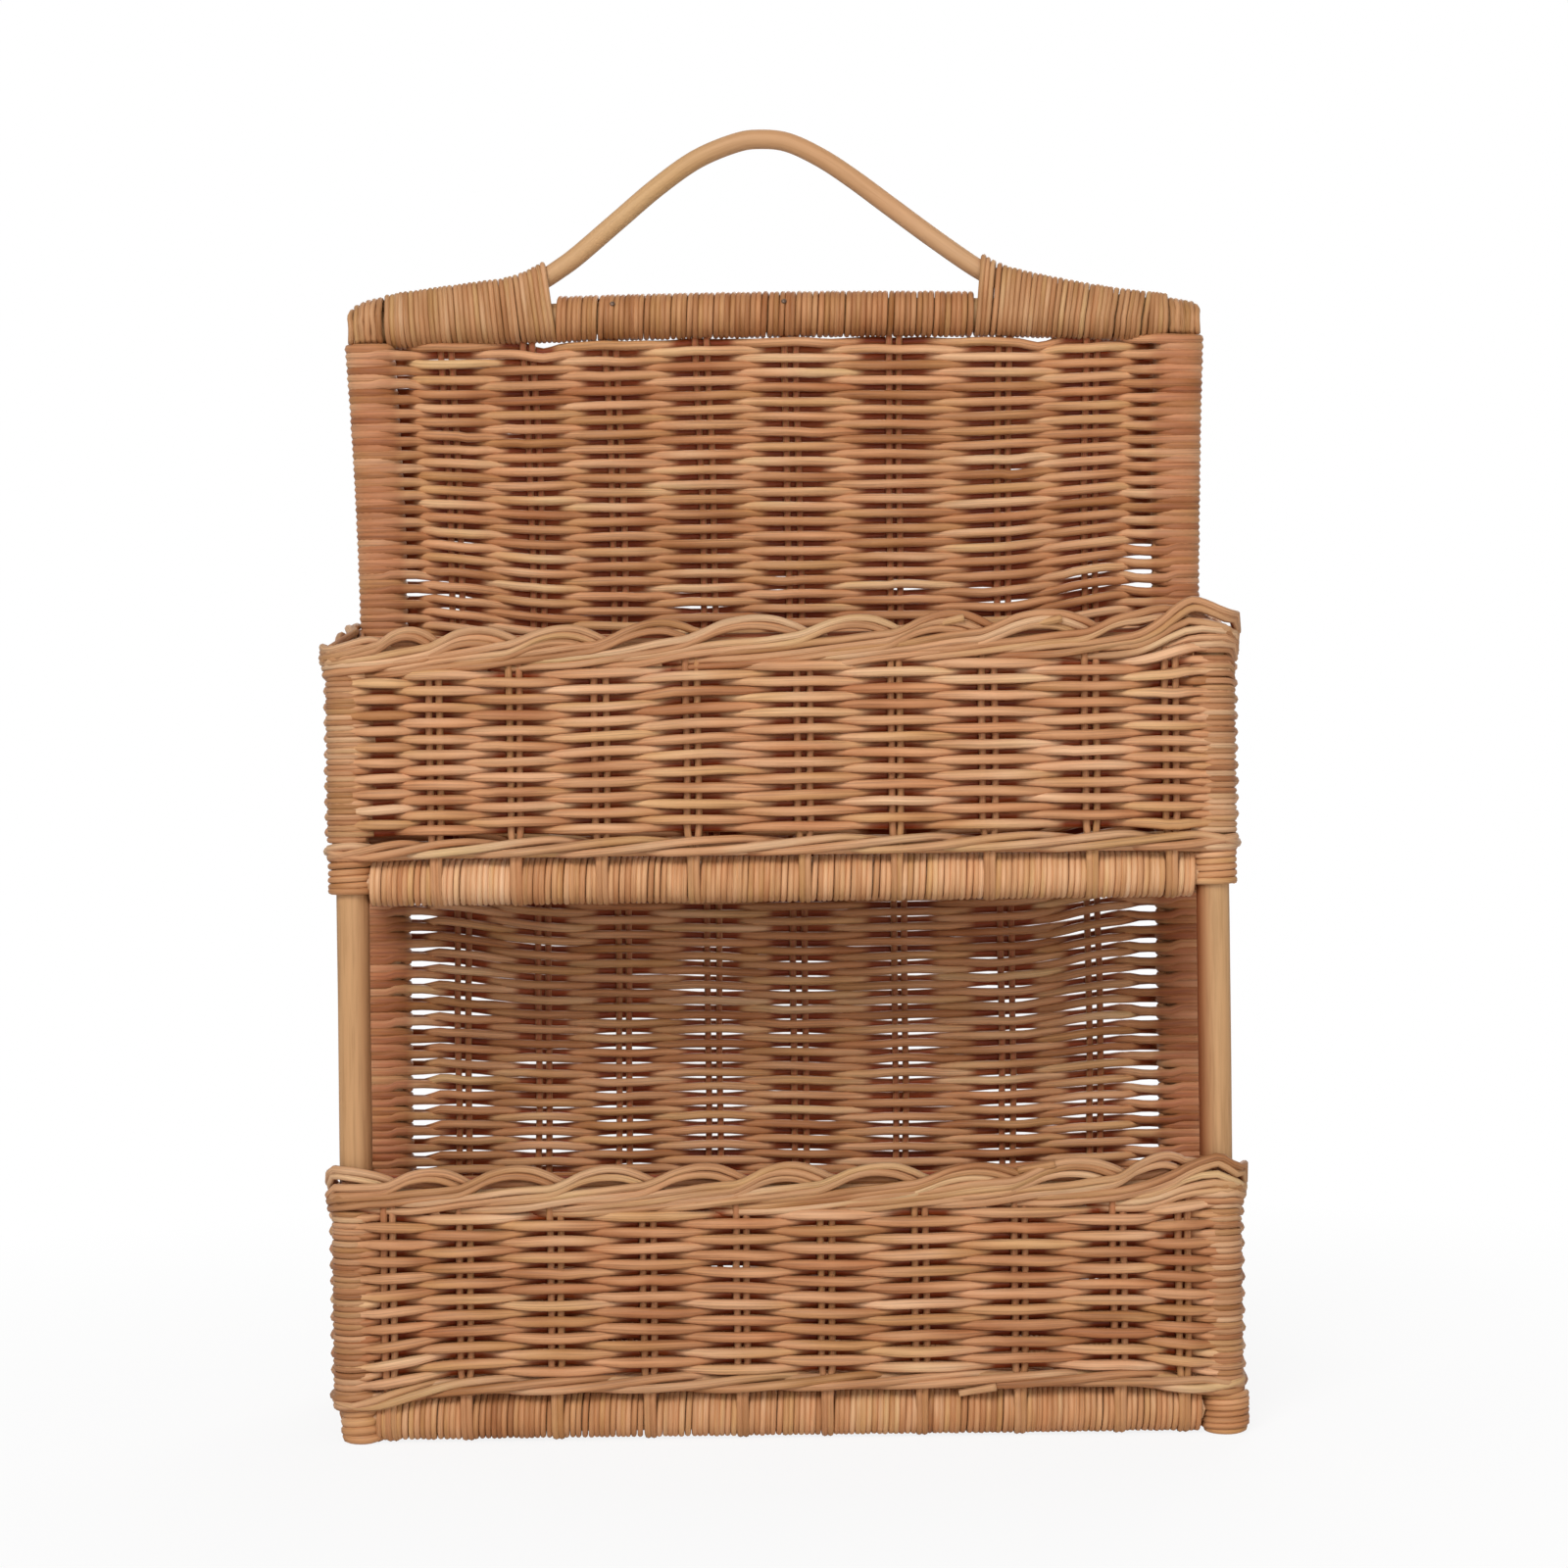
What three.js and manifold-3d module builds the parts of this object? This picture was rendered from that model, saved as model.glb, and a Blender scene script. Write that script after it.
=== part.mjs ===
// A hanging rattan basket with two open tiers, in millimetres. A frame of cane poles carries
// a woven back, two woven trays and a bent cane bow that it hangs by. The rails are bound
// with split cane, pairs of stakes hook round them, and each tray ends in a plaited rim.
// x runs along the front, y from front to back and z up from the feet of the posts.

import * as THREE from 'three';
import { mergeVertices } from 'three/addons/utils/BufferGeometryUtils.js';
import Module from 'manifold-3d';

const wasm = await Module();
wasm.setup();

// Poles of the frame
const postDiameter = 13;
const railDiameter = 14;
const sideRailDiameter = 12;
const bowDiameter = 8.4;
const postSpan = 340;
const postDepth = 110;
const frontPostHeight = 315;
const topRailOverhang = 6.9;
const endEase = 0.8;
const clearance = 0.3;

// Strands: stakes in pairs, weavers round them, and split cane bindings
const stakeDiameter = 2.8;
const stakeSpacing = 2.6;
const weaverDiameter = 2.8;
const bayThickness = 4.8;
const pairReach = 4;
const railWrapThickness = 2.3;
const postWrapThickness = 2.5;
const sideWrapThickness = 2.5;
const bindingWidth = 2.5;
const bindingThickness = 2.3;
const lashingWidth = 2.7;
const ribGroove = 0.6;
const ribPitch = 16;

// Slits that the woven back leaves beside its posts, between the trays
const slitPitch = 6.8;
const slitLength = 12.5;
const leftSlitHeight = 1.4;
const rightSlitHeight = 2.3;

// Heights
const footGap = 0.6;
const postIntoRim = 6.8;
const topRailHeight = 459.8;
const topRailCamber = 4;
const topFlare = 5.5;
const flareHeight = 336;

// Walls and rims of the trays
const wallHeight = 77;
const waleHeight = 8;
const waleProud = 1;
const rimHeight = 12;
const rimThickness = 5.2;
const upperSideRise = 15;
const lowerSideRise = 0;

// Bow, and the bindings that hold its ends on the top rail
const bowRise = 75.4;
const bowEndInset = 2;
const leftBindingLength = 74.2;
const rightBindingLength = 80.2;
const bindingTurns = 24;
const bindingLean = 0.1;
const upperLashingDrop = 6.4;
const upperLashingTurns = 4;
const footLashingTurns = 5;
const capLobes = 5;
const capOpening = THREE.MathUtils.degToRad(68);

// Places along a span as shares of half of it, chosen by eye as a weaver does
const backPairShares = [-0.812, -0.611, -0.409, -0.181, 0.038, 0.292, 0.562, 0.783];
const upperPairShares = [-0.8, -0.615, -0.417, -0.205, 0.052, 0.265, 0.479, 0.716, 0.9];
const lowerPairShares = [-0.92, -0.745, -0.535, -0.321, -0.107, 0.089, 0.308, 0.535, 0.766, 0.914];
const sidePairShares = [0.7, 0.32];
const strapEndShare = 0.42;
const stepOffShare = 0.75;
const trimShare = 1 / 3;
const leftSlitShare = 0.62;
const rightSlitShare = 1;

// Height of the scalloped rim where a pair of stakes turns down, in a bay and at a corner
const scallopShares = { pair: 0.72, bay: 1, corner: 0.9 };

// The bow's middle line: shares of its reach, and of its rise above the top rail's middle
const bowShares = [
  [-1, 0.036], [-0.855, 0.073], [-0.715, 0.122], [-0.617, 0.18], [-0.555, 0.24], [-0.432, 0.468],
  [-0.286, 0.771], [-0.175, 0.918], [-0.04, 1], [0.075, 0.934], [0.19, 0.772], [0.306, 0.609],
  [0.421, 0.439], [0.513, 0.268], [0.613, 0.168], [0.767, 0.082], [0.92, 0.041], [1, 0.02],
];

// Facets
const postSides = 16;
const railSides = 12;
const saddleSides = 24;
const bowSides = 8;
const bowSteps = 26;
const loopSteps = 8;
const capSteps = 8;
const camberSteps = 8;
const stakeLobe = THREE.MathUtils.degToRad(70);

// Sizes that follow from these
const halfSpan = postSpan / 2;
const postRadius = postDiameter / 2;
const railRadius = railDiameter / 2;
const sideRailRadius = sideRailDiameter / 2;
const bowRadius = bowDiameter / 2;
const stakeRadius = stakeDiameter / 2;
const wrapRadius = railRadius + clearance + railWrapThickness;
const wrappedPostRadius = postRadius + clearance + postWrapThickness;
const saddleRadius = wrappedPostRadius + clearance;
const lashedSaddle = postRadius + clearance + bindingThickness + clearance;
const wrappedSideRadius = sideRailRadius + clearance + sideWrapThickness;
const pairHalf = stakeRadius + weaverDiameter;
const bayHalf = bayThickness / 2;
const pairWidth = stakeSpacing + stakeDiameter;
const frontStakeOffset = railRadius + clearance + stakeRadius;
const sideStakeOffset = sideRailRadius + clearance + stakeRadius;
const hookReach = frontStakeOffset + stakeRadius;
const lowerRailHeight = footGap + wrapRadius;
const frontReach = frontStakeOffset + pairHalf + waleProud;
const overallDepth = frontReach + postDepth + wrapRadius;
const frontY = frontReach - overallDepth / 2;
const backY = frontY + postDepth;
const topRailHalf = halfSpan + topFlare + topRailOverhang;
const bowReach = halfSpan - bowEndInset;
const wallBottom = wrapRadius + clearance;
const wallTop = wallBottom + wallHeight;
const rimBottom = wallTop + clearance;
const upperRailHeight = frontPostHeight - postIntoRim - rimBottom;
const strapBackY = backY - wrappedPostRadius * strapEndShare;
const halfStep = Math.PI / loopSteps;
const mitre = 1 / Math.cos(halfStep);
const overrun = postDiameter;

// Geometry with only its positions, welded, with no empty triangles and its faces outwards
function weld(source) {
  const bare = source.clone();
  bare.deleteAttribute('normal');
  bare.deleteAttribute('uv');
  const welded = mergeVertices(bare);
  const at = welded.getAttribute('position');
  const index = welded.getIndex().array;
  const kept = [];
  let volume = 0;
  const corners = [new THREE.Vector3(), new THREE.Vector3(), new THREE.Vector3()];
  for (let i = 0; i < index.length; i += 3) {
    const [a, b, c] = [index[i], index[i + 1], index[i + 2]];
    if (a === b || b === c || c === a) continue;
    kept.push(a, b, c);
    corners[0].fromBufferAttribute(at, a);
    corners[1].fromBufferAttribute(at, b);
    corners[2].fromBufferAttribute(at, c);
    volume += corners[0].dot(corners[1].cross(corners[2]));
  }
  welded.setIndex(volume < 0 ? kept.reverse() : kept);
  return welded;
}

function toSolid(geometry) {
  const welded = weld(geometry);
  const vertProperties = new Float32Array(welded.getAttribute('position').array);
  const triVerts = new Uint32Array(welded.getIndex().array);
  return new wasm.Manifold(new wasm.Mesh({ numProp: 3, vertProperties, triVerts }));
}

function fromSolid(solid) {
  const mesh = solid.getMesh();
  const geometry = new THREE.BufferGeometry();
  geometry.setAttribute('position', new THREE.BufferAttribute(new Float32Array(mesh.vertProperties), 3));
  geometry.setIndex([...mesh.triVerts]);
  return geometry;
}

function cut(body, ...tools) {
  return fromSolid(tools.reduce((solid, tool) => solid.subtract(toSolid(tool)), toSolid(body)));
}

// A solid through rings of points. Its flat ends take the triangles of the given outline.
function loft(rings, outline) {
  const count = rings[0].length;
  const index = [];
  for (let i = 0; i + 1 < rings.length; i++) {
    const here = i * count;
    const next = here + count;
    for (let j = 0; j < count; j++) {
      const k = (j + 1) % count;
      index.push(here + j, next + j, next + k);
      index.push(here + j, next + k, here + k);
    }
  }
  const last = (rings.length - 1) * count;
  const turned = THREE.ShapeUtils.isClockWise(outline);
  for (const [a, b, c] of THREE.ShapeUtils.triangulateShape(outline, [])) {
    const [near, far] = turned ? [c, b] : [b, c];
    index.push(a, near, far);
    index.push(last + a, last + far, last + near);
  }
  const geometry = new THREE.BufferGeometry();
  geometry.setFromPoints(rings.flat());
  geometry.setIndex(index);
  return geometry;
}

function moveVertices(geometry, move) {
  const at = geometry.getAttribute('position');
  const point = new THREE.Vector3();
  for (let i = 0; i < at.count; i++) {
    move(point.fromBufferAttribute(at, i));
    at.setXYZ(i, point.x, point.y, point.z);
  }
  return geometry;
}

// A round pole up z from 0, with eased ends and rings at the given levels
function pole(radius, length, levels = []) {
  const profile = [
    new THREE.Vector2(0, 0),
    new THREE.Vector2(radius - endEase, 0),
    new THREE.Vector2(radius, endEase),
    ...levels.map((level) => new THREE.Vector2(radius, level)),
    new THREE.Vector2(radius, length - endEase),
    new THREE.Vector2(radius - endEase, length),
    new THREE.Vector2(0, length),
  ];
  return new THREE.LatheGeometry(profile, postSides).rotateX(Math.PI / 2);
}

function roundAlongX(radius, halfLength, sides = railSides, steps = 1) {
  const geometry = new THREE.CylinderGeometry(radius, radius, halfLength * 2, sides, steps);
  return geometry.rotateZ(-Math.PI / 2);
}

function roundAlongY(radius, from, to, sides = railSides) {
  const geometry = new THREE.CylinderGeometry(radius, radius, to - from, sides);
  return geometry.translate(0, (from + to) / 2, 0);
}

// The space that a woven-round or lashed post takes, for the saddles of what butts against it
function wovenPostSpace(x, y, height) {
  const geometry = new THREE.CylinderGeometry(saddleRadius, saddleRadius, height, saddleSides);
  return geometry.rotateX(Math.PI / 2).translate(x, y, 0);
}

function lashedPostSpace(x, y) {
  const radius = lashedSaddle * mitre;
  const height = railDiameter + overrun;
  const geometry = new THREE.CylinderGeometry(radius, radius, height, loopSteps, 1, false, halfStep);
  return geometry.rotateX(Math.PI / 2).translate(x, y, 0);
}

// A rail along x between two posts, with a saddle at each end
function railBetweenPosts(postSpace) {
  const rail = roundAlongX(railRadius, halfSpan - postRadius / 2);
  return cut(rail, postSpace(-halfSpan, 0, overrun * 2), postSpace(halfSpan, 0, overrun * 2));
}

// A sleeve along x of split cane, grooved at the given places, with rings inside where it bends
function ribbedSleeve(inner, outer, from, to, grooves, bends = []) {
  const profile = [new THREE.Vector2(inner, from), new THREE.Vector2(outer, from)];
  for (const place of grooves) {
    profile.push(new THREE.Vector2(outer, place - ribGroove));
    profile.push(new THREE.Vector2(outer - ribGroove, place));
    profile.push(new THREE.Vector2(outer, place + ribGroove));
  }
  profile.push(new THREE.Vector2(outer, to), new THREE.Vector2(inner, to));
  profile.push(...bends.map((place) => new THREE.Vector2(inner, place)).reverse());
  profile.push(new THREE.Vector2(inner, from));
  return new THREE.LatheGeometry(profile, railSides).rotateZ(-Math.PI / 2);
}

// Two round stakes side by side as one outline, grown all round
function pairOutline(grow) {
  const radius = stakeRadius + grow;
  const half = stakeSpacing / 2;
  const waist = Math.sqrt(radius ** 2 - half ** 2);
  const right = [-stakeLobe, 0, stakeLobe].map((a) => new THREE.Vector2(half + radius * Math.cos(a), radius * Math.sin(a)));
  const left = right.map((point) => point.clone().negate());
  return [new THREE.Vector2(0, -waist), ...right, new THREE.Vector2(0, waist), ...left];
}

// Places where a woven stretch changes thickness: full at a pair of stakes, thin in a bay
function weaveProfile(from, to, pairs) {
  const reach = Math.sign(to - from) * pairReach;
  const places = [{ at: from, kind: 'bay' }];
  pairs.forEach((pair, i) => {
    if (i > 0) places.push({ at: (pairs[i - 1] + pair) / 2, kind: 'bay' });
    places.push({ at: pair - reach, kind: 'pair' });
    places.push({ at: pair + reach, kind: 'pair' });
  });
  places.push({ at: to, kind: 'bay' });
  return places;
}

const thicknessHalf = { pair: pairHalf, bay: bayHalf };

function pairPlaces(shares) {
  return shares.map((share) => share * halfSpan);
}

// A woven panel from pole to pole, as its section: a plate that swells at each pair of stakes
// and goes round the pole at either side
function panelShape(poleRadius, wrapped, pairs, holes) {
  const leave = Math.asin(bayHalf / wrapped);
  const edge = halfSpan - wrapped * Math.cos(leave);
  const face = weaveProfile(-edge, edge, pairs).slice(1, -1);
  const near = face.map(({ at, kind }) => new THREE.Vector2(at, -thicknessHalf[kind]));
  const far = face.map(({ at, kind }) => new THREE.Vector2(at, thicknessHalf[kind])).reverse();
  const turn = (side) => {
    const points = [];
    for (let i = 0; i <= postSides; i++) {
      const angle = Math.PI + leave + (i / postSides) * 2 * (Math.PI - leave);
      const x = halfSpan + wrapped * Math.cos(angle);
      points.push(new THREE.Vector2(side * x, side * wrapped * Math.sin(angle)));
    }
    return points;
  };
  const shape = new THREE.Shape([...near, ...turn(1), ...far, ...turn(-1)]);
  for (const side of [-1, 1]) {
    const ring = [];
    for (let i = 0; i < postSides; i++) {
      const angle = (i / postSides) * 2 * Math.PI;
      const x = side * halfSpan + (poleRadius + clearance) * Math.cos(angle);
      ring.push(new THREE.Vector2(x, (poleRadius + clearance) * Math.sin(angle)));
    }
    shape.holes.push(new THREE.Path(ring));
  }
  for (const pair of holes) {
    const outline = pairOutline(clearance).map((point) => new THREE.Vector2(point.x + pair, point.y));
    shape.holes.push(new THREE.Path(outline));
  }
  return shape;
}

// A shape raised through the given levels
function raise(shape, levels) {
  const steps = levels.length - 1;
  const geometry = new THREE.ExtrudeGeometry(shape, { depth: steps, steps, bevelEnabled: false });
  return moveVertices(geometry, (point) => {
    point.z = levels[Math.round(point.z)];
  });
}

// Above the trays the back widens a little towards the top rail
function splay(geometry) {
  return moveVertices(geometry, (point) => {
    const above = Math.max(0, point.z - flareHeight) / (topRailHeight - flareHeight);
    point.x *= 1 + (topFlare / halfSpan) * above;
  });
}

// The top rail bows up in its middle
function railDrop(x) {
  return -topRailCamber * (x / topRailHalf) ** 2;
}

function followCamber(geometry) {
  return moveVertices(geometry, (point) => {
    point.z += railDrop(point.x);
  });
}

// One unbroken strand wound round a carrier. Its loops lie on the carrier's eight tangent
// planes, so the strand is in touch with it all the way and never cuts into it. The support
// gives how far the carrier reaches at a place and angle, and put places a point of a loop.
function winding({ name, from, to, turns, width, support, put }) {
  const rings = [];
  const steps = turns * loopSteps;
  const travel = to - from - width;
  for (let i = 0; i <= steps; i++) {
    const along = from + width / 2 + travel * (i / steps);
    const angle = (2 * i + 1) * halfStep;
    const corner = (grow) => {
      const before = support(along, angle - halfStep) + grow;
      const after = support(along, angle + halfStep) + grow;
      const out = (before + after) / (2 * Math.cos(halfStep));
      const aside = (after - before) / (2 * Math.sin(halfStep));
      const x = out * Math.cos(angle) - aside * Math.sin(angle);
      return new THREE.Vector2(x, out * Math.sin(angle) + aside * Math.cos(angle));
    };
    const inner = corner(clearance);
    const outer = corner(clearance + bindingThickness);
    const near = along - width / 2;
    const far = along + width / 2;
    rings.push([put(near, inner), put(near, outer), put(far, outer), put(far, inner)]);
  }
  console.log(`${name}: ${turns} loops, least gap ${leastGap(rings).toFixed(2)} mm`);
  const section = [[0, 0], [0, 1], [1, 1], [1, 0]].map(([x, y]) => new THREE.Vector2(x, y));
  return loft(rings, section);
}

// The least distance between points of a strand that are more than half a loop apart
function leastGap(rings) {
  let least = Infinity;
  for (let i = 0; i < rings.length; i++) {
    for (let j = i + loopSteps / 2 + 1; j < rings.length; j++) {
      for (const a of rings[i]) {
        for (const b of rings[j]) least = Math.min(least, a.distanceTo(b));
      }
    }
  }
  return least;
}

// Finishes: bare poles, the smooth bow, stakes, woven strands and bindings
const finishes = {
  pole: { color: '#c79a66', roughness: 0.62 },
  bow: { color: '#cfa06a', roughness: 0.5 },
  stake: { color: '#b88a5a', roughness: 0.7 },
  weave: { color: '#b88352', roughness: 0.72 },
  binding: { color: '#c0915e', roughness: 0.66 },
};

function add(parent, name, geometry, finish, x = 0, y = 0) {
  const material = new THREE.MeshStandardMaterial({ ...finishes[finish], metalness: 0 });
  const mesh = new THREE.Mesh(weld(geometry), material);
  mesh.name = name;
  mesh.position.set(x, y, 0);
  parent.add(mesh);
}

const basket = new THREE.Group();

// The head: top rail, bow, bindings and corner caps, measured from the top rail's middle
const head = new THREE.Group();
head.position.set(0, backY, topRailHeight);
basket.add(head);

add(head, 'top_rail', followCamber(roundAlongX(railRadius, topRailHalf, railSides, camberSteps)), 'pole');

const bowCurve = new THREE.CatmullRomCurve3(
  bowShares.map(([reach, rise]) => new THREE.Vector3(reach * bowReach, 0, rise * bowRise)),
);
const bowLine = bowCurve.getSpacedPoints(bowSteps);

function bowShape() {
  const circle = new THREE.Shape();
  for (let i = 0; i < bowSides; i++) {
    const angle = (2 * i + 1) * (Math.PI / bowSides);
    const [x, y] = [bowRadius * Math.cos(angle), bowRadius * Math.sin(angle)];
    if (i === 0) circle.moveTo(x, y);
    else circle.lineTo(x, y);
  }
  const settings = { steps: bowSteps, extrudePath: bowCurve, bevelEnabled: false };
  return new THREE.ExtrudeGeometry(circle, settings);
}

// The bow's ends are scarfed to lie along the rail
const railTouch = followCamber(roundAlongX(railRadius + clearance, topRailHalf, railSides, camberSteps));
add(head, 'handle_bow', cut(bowShape(), railTouch), 'bow');

// Height and slope of the bow's middle line over a place on the rail
function bowAt(x) {
  const last = bowLine.length - 2;
  const found = bowLine.findIndex((point, i) => i > 0 && point.x >= x) - 1;
  const i = found < 0 ? (x < 0 ? 0 : last) : found;
  const [a, b] = [bowLine[i], bowLine[i + 1]];
  const slope = (b.z - a.z) / (b.x - a.x);
  return { height: a.z + slope * (x - a.x), slope };
}

// How far rail and bow reach together, from the rail's middle, across the rail
function bundleSupport(x, angle) {
  const reachAt = (place) => {
    const { height, slope } = bowAt(place);
    const tall = bowRadius * Math.hypot(1, slope);
    const round = Math.hypot(bowRadius * Math.cos(angle), tall * Math.sin(angle));
    return (height - railDrop(place)) * Math.sin(angle) + round;
  };
  return Math.max(railRadius, reachAt(x - bindingWidth / 2), reachAt(x + bindingWidth / 2));
}

// The bindings of the bow lean outwards at their tops, more so towards the bow
const bindingEnd = halfSpan + topFlare - postRadius - 2 * clearance;
for (const [side, name, length] of [
  [-1, 'left_handle_binding', leftBindingLength],
  [1, 'right_handle_binding', rightBindingLength],
]) {
  const lean = (out) => (bindingLean * (bindingEnd - out)) / length;
  const tilt = (out, up) => out + lean(out) * up;
  const binding = winding({
    name,
    from: bindingEnd - length,
    to: bindingEnd,
    turns: bindingTurns,
    width: bindingWidth,
    support: (out, angle) => {
      const up = bundleSupport(side * out, angle) * Math.sin(angle);
      return bundleSupport(side * tilt(out, up), angle);
    },
    put: (out, point) => {
      const x = side * tilt(out, point.y);
      return new THREE.Vector3(x, point.x, point.y + railDrop(side * out));
    },
  });
  add(head, name, binding, 'binding');
}

const topWrapFrom = leftBindingLength - bindingEnd + clearance;
const topWrapTo = bindingEnd - rightBindingLength - clearance;
const topWrapRibs = Math.round((topWrapTo - topWrapFrom) / ribPitch);
const topGrooves = [];
for (let i = 1; i < topWrapRibs; i++) {
  topGrooves.push(THREE.MathUtils.lerp(topWrapFrom, topWrapTo, i / topWrapRibs));
}
const topBends = topGrooves.filter((place, i) => i % 2 === 1);
const topSleeve = ribbedSleeve(
  railRadius + clearance, wrapRadius, topWrapFrom, topWrapTo, topGrooves, topBends,
);
add(head, 'top_rail_wrap', followCamber(topSleeve), 'binding');

// Strands laid over each end of the top rail, open below where the post comes up
function cornerCap(side) {
  const from = bindingEnd + 2 * clearance;
  const to = topRailHalf;
  const inner = (railRadius + clearance) / Math.cos((Math.PI - capOpening) / capSteps);
  const section = [new THREE.Vector2(from, inner)];
  for (let i = 0; i < capLobes; i++) {
    const near = THREE.MathUtils.lerp(from, to, i / capLobes);
    const far = THREE.MathUtils.lerp(from, to, (i + 1) / capLobes);
    section.push(new THREE.Vector2(near, wrapRadius - ribGroove));
    section.push(new THREE.Vector2((near + far) / 2, wrapRadius));
  }
  section.push(new THREE.Vector2(to, wrapRadius - ribGroove));
  section.push(new THREE.Vector2(to, inner));
  const rings = [];
  for (let i = 0; i <= capSteps; i++) {
    const angle = ((2 * i) / capSteps - 1) * (Math.PI - capOpening);
    const [sin, cos] = [Math.sin(angle), Math.cos(angle)];
    rings.push(section.map(({ x, y }) => new THREE.Vector3(side * x, y * sin, y * cos + railDrop(x))));
  }
  return loft(rings, section);
}
add(head, 'top_left_corner_cap', cornerCap(-1), 'binding');
add(head, 'top_right_corner_cap', cornerCap(1), 'binding');

// The back: posts, bottom rail and its wrap, woven panel and stake pairs, in the posts' plane
const back = new THREE.Group();
back.position.y = backY;
basket.add(back);

function topEnvelope(radius, sides, turned) {
  const geometry = roundAlongX(radius, topRailHalf + overrun, sides, camberSteps);
  return followCamber(geometry.rotateX(turned)).translate(0, 0, topRailHeight);
}

const backPostHeight = topRailHeight + railDrop(halfSpan);
for (const [side, name] of [[-1, 'back_left_post'], [1, 'back_right_post']]) {
  const post = pole(postRadius, backPostHeight, [flareHeight]).translate(side * halfSpan, 0, 0);
  add(back, name, cut(splay(post), topEnvelope(railRadius + clearance, railSides, 0)), 'pole');
}

add(back, 'back_bottom_rail', railBetweenPosts(wovenPostSpace).translate(0, 0, lowerRailHeight), 'pole');

const wrapEnd = halfSpan - saddleRadius - clearance;
const backPairs = pairPlaces(backPairShares);
const bayMiddles = (pairs) => pairs.slice(1).map((pair, i) => (pairs[i] + pair) / 2);
const bottomSleeve = ribbedSleeve(
  railRadius + clearance, wrapRadius, -wrapEnd, wrapEnd, bayMiddles(backPairs),
);
add(back, 'back_bottom_rail_wrap', bottomSleeve.translate(0, 0, lowerRailHeight), 'binding');

// A slit between two weavers, widest beside the post and closed before the first pair
function slit(side, height, level) {
  const root = halfSpan - saddleRadius;
  const wedge = new THREE.Shape([
    new THREE.Vector2(side * root, -height / 2),
    new THREE.Vector2(side * root, height / 2),
    new THREE.Vector2(side * (root - slitLength), 0),
  ]);
  const depth = 2 * saddleRadius;
  const geometry = new THREE.ExtrudeGeometry(wedge, { depth, bevelEnabled: false });
  return geometry.rotateX(Math.PI / 2).translate(0, depth / 2, level);
}

// The slits go up from the lower tray's rim for a share of the way to the upper tray's rail
function slits(side, height, share) {
  const from = lowerRailHeight + rimBottom + rimHeight;
  const rise = share * (upperRailHeight - wrapRadius - from);
  const count = Math.floor(rise / slitPitch);
  return Array.from({ length: count }, (_, i) => slit(side, height, from + (i + 0.5) * slitPitch));
}

// The panel's strands go round the posts from foot to top rail, and its plate stands on the
// bottom rail's wrap
const plateBottom = lowerRailHeight + wrapRadius + clearance;
const underWrap = (wrapRadius + clearance) * mitre;
function backPanel() {
  const shape = panelShape(postRadius, wrappedPostRadius, backPairs, backPairs);
  const panel = splay(raise(shape, [footGap, flareHeight, topRailHeight - railRadius]));
  const trimHalf = halfSpan - wrappedPostRadius + postWrapThickness * trimShare;
  const below = new THREE.BoxGeometry(2 * trimHalf, 2 * wrapRadius, 2 * plateBottom);
  return cut(
    panel, below, topEnvelope(underWrap, loopSteps, halfStep),
    ...slits(-1, leftSlitHeight, leftSlitShare), ...slits(1, rightSlitHeight, rightSlitShare),
  );
}
add(back, 'back_panel_weave', backPanel(), 'weave');

backPairs.forEach((pair, i) => {
  const place = pair * (1 + topFlare / halfSpan);
  const top = topRailHeight + railDrop(place) - wrapRadius - clearance;
  const outline = pairOutline(0).map((point) => new THREE.Vector2(point.x + pair, point.y));
  const stakes = splay(raise(new THREE.Shape(outline), [plateBottom, flareHeight, top]));
  add(back, `back_stake_pair_${i + 1}`, stakes, 'stake');
});

// Stations of the strap that a tray's wall is woven as, seen from above: along the left side
// from the back, round the front posts and along the right side to the back. A point lies at
// the origin plus the normal times the offset, stretched at a mitred corner.
function strapStations(pairs, half, cornerHalf) {
  const side = weaveProfile(strapBackY, frontY + overrun, sidePairShares.map(
    (share) => frontY + share * postDepth,
  ));
  const left = side.map(({ at, kind }) => ({
    x: -halfSpan, y: at, angle: Math.PI, offset: sideStakeOffset, stretch: 1, half: half[kind], kind,
  }));
  const cornerOffset = postRadius + clearance + cornerHalf;
  for (const [turn, stretch] of [[0, 1], [halfStep, mitre], [3 * halfStep, mitre], [4 * halfStep, 1]]) {
    left.push({
      x: -halfSpan, y: frontY, angle: Math.PI + turn, offset: cornerOffset, stretch,
      half: cornerHalf, kind: 'corner',
    });
  }
  const right = left.map((station) => ({ ...station, x: halfSpan, angle: Math.PI - station.angle }));
  const front = halfSpan - postRadius * stepOffShare;
  const middle = weaveProfile(-front, front, pairs).map(({ at, kind }) => ({
    x: at, y: frontY, angle: -Math.PI / 2, offset: frontStakeOffset, stretch: 1, half: half[kind], kind,
  }));
  return [...left, ...middle, ...right.reverse()];
}

function strapPoint(station, out, z) {
  const reach = (station.offset + out) * station.stretch;
  const x = station.x + reach * Math.cos(station.angle);
  return new THREE.Vector3(x, station.y + reach * Math.sin(station.angle), z);
}

// A strap through its stations, with a section given for each, coped to the back posts
function strap(stations, sectionOf, sideRise) {
  const rings = stations.map((station) => {
    const lift = (sideRise * (station.y - frontY)) / postDepth;
    return sectionOf(station, lift).map(({ x, y }) => strapPoint(station, x, y));
  });
  const height = 2 * (rimBottom + rimHeight + sideRise + overrun);
  const copes = [-halfSpan, halfSpan].map((x) => wovenPostSpace(x, backY, height));
  return cut(loft(rings, sectionOf(stations[0], 0)), ...copes);
}

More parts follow.
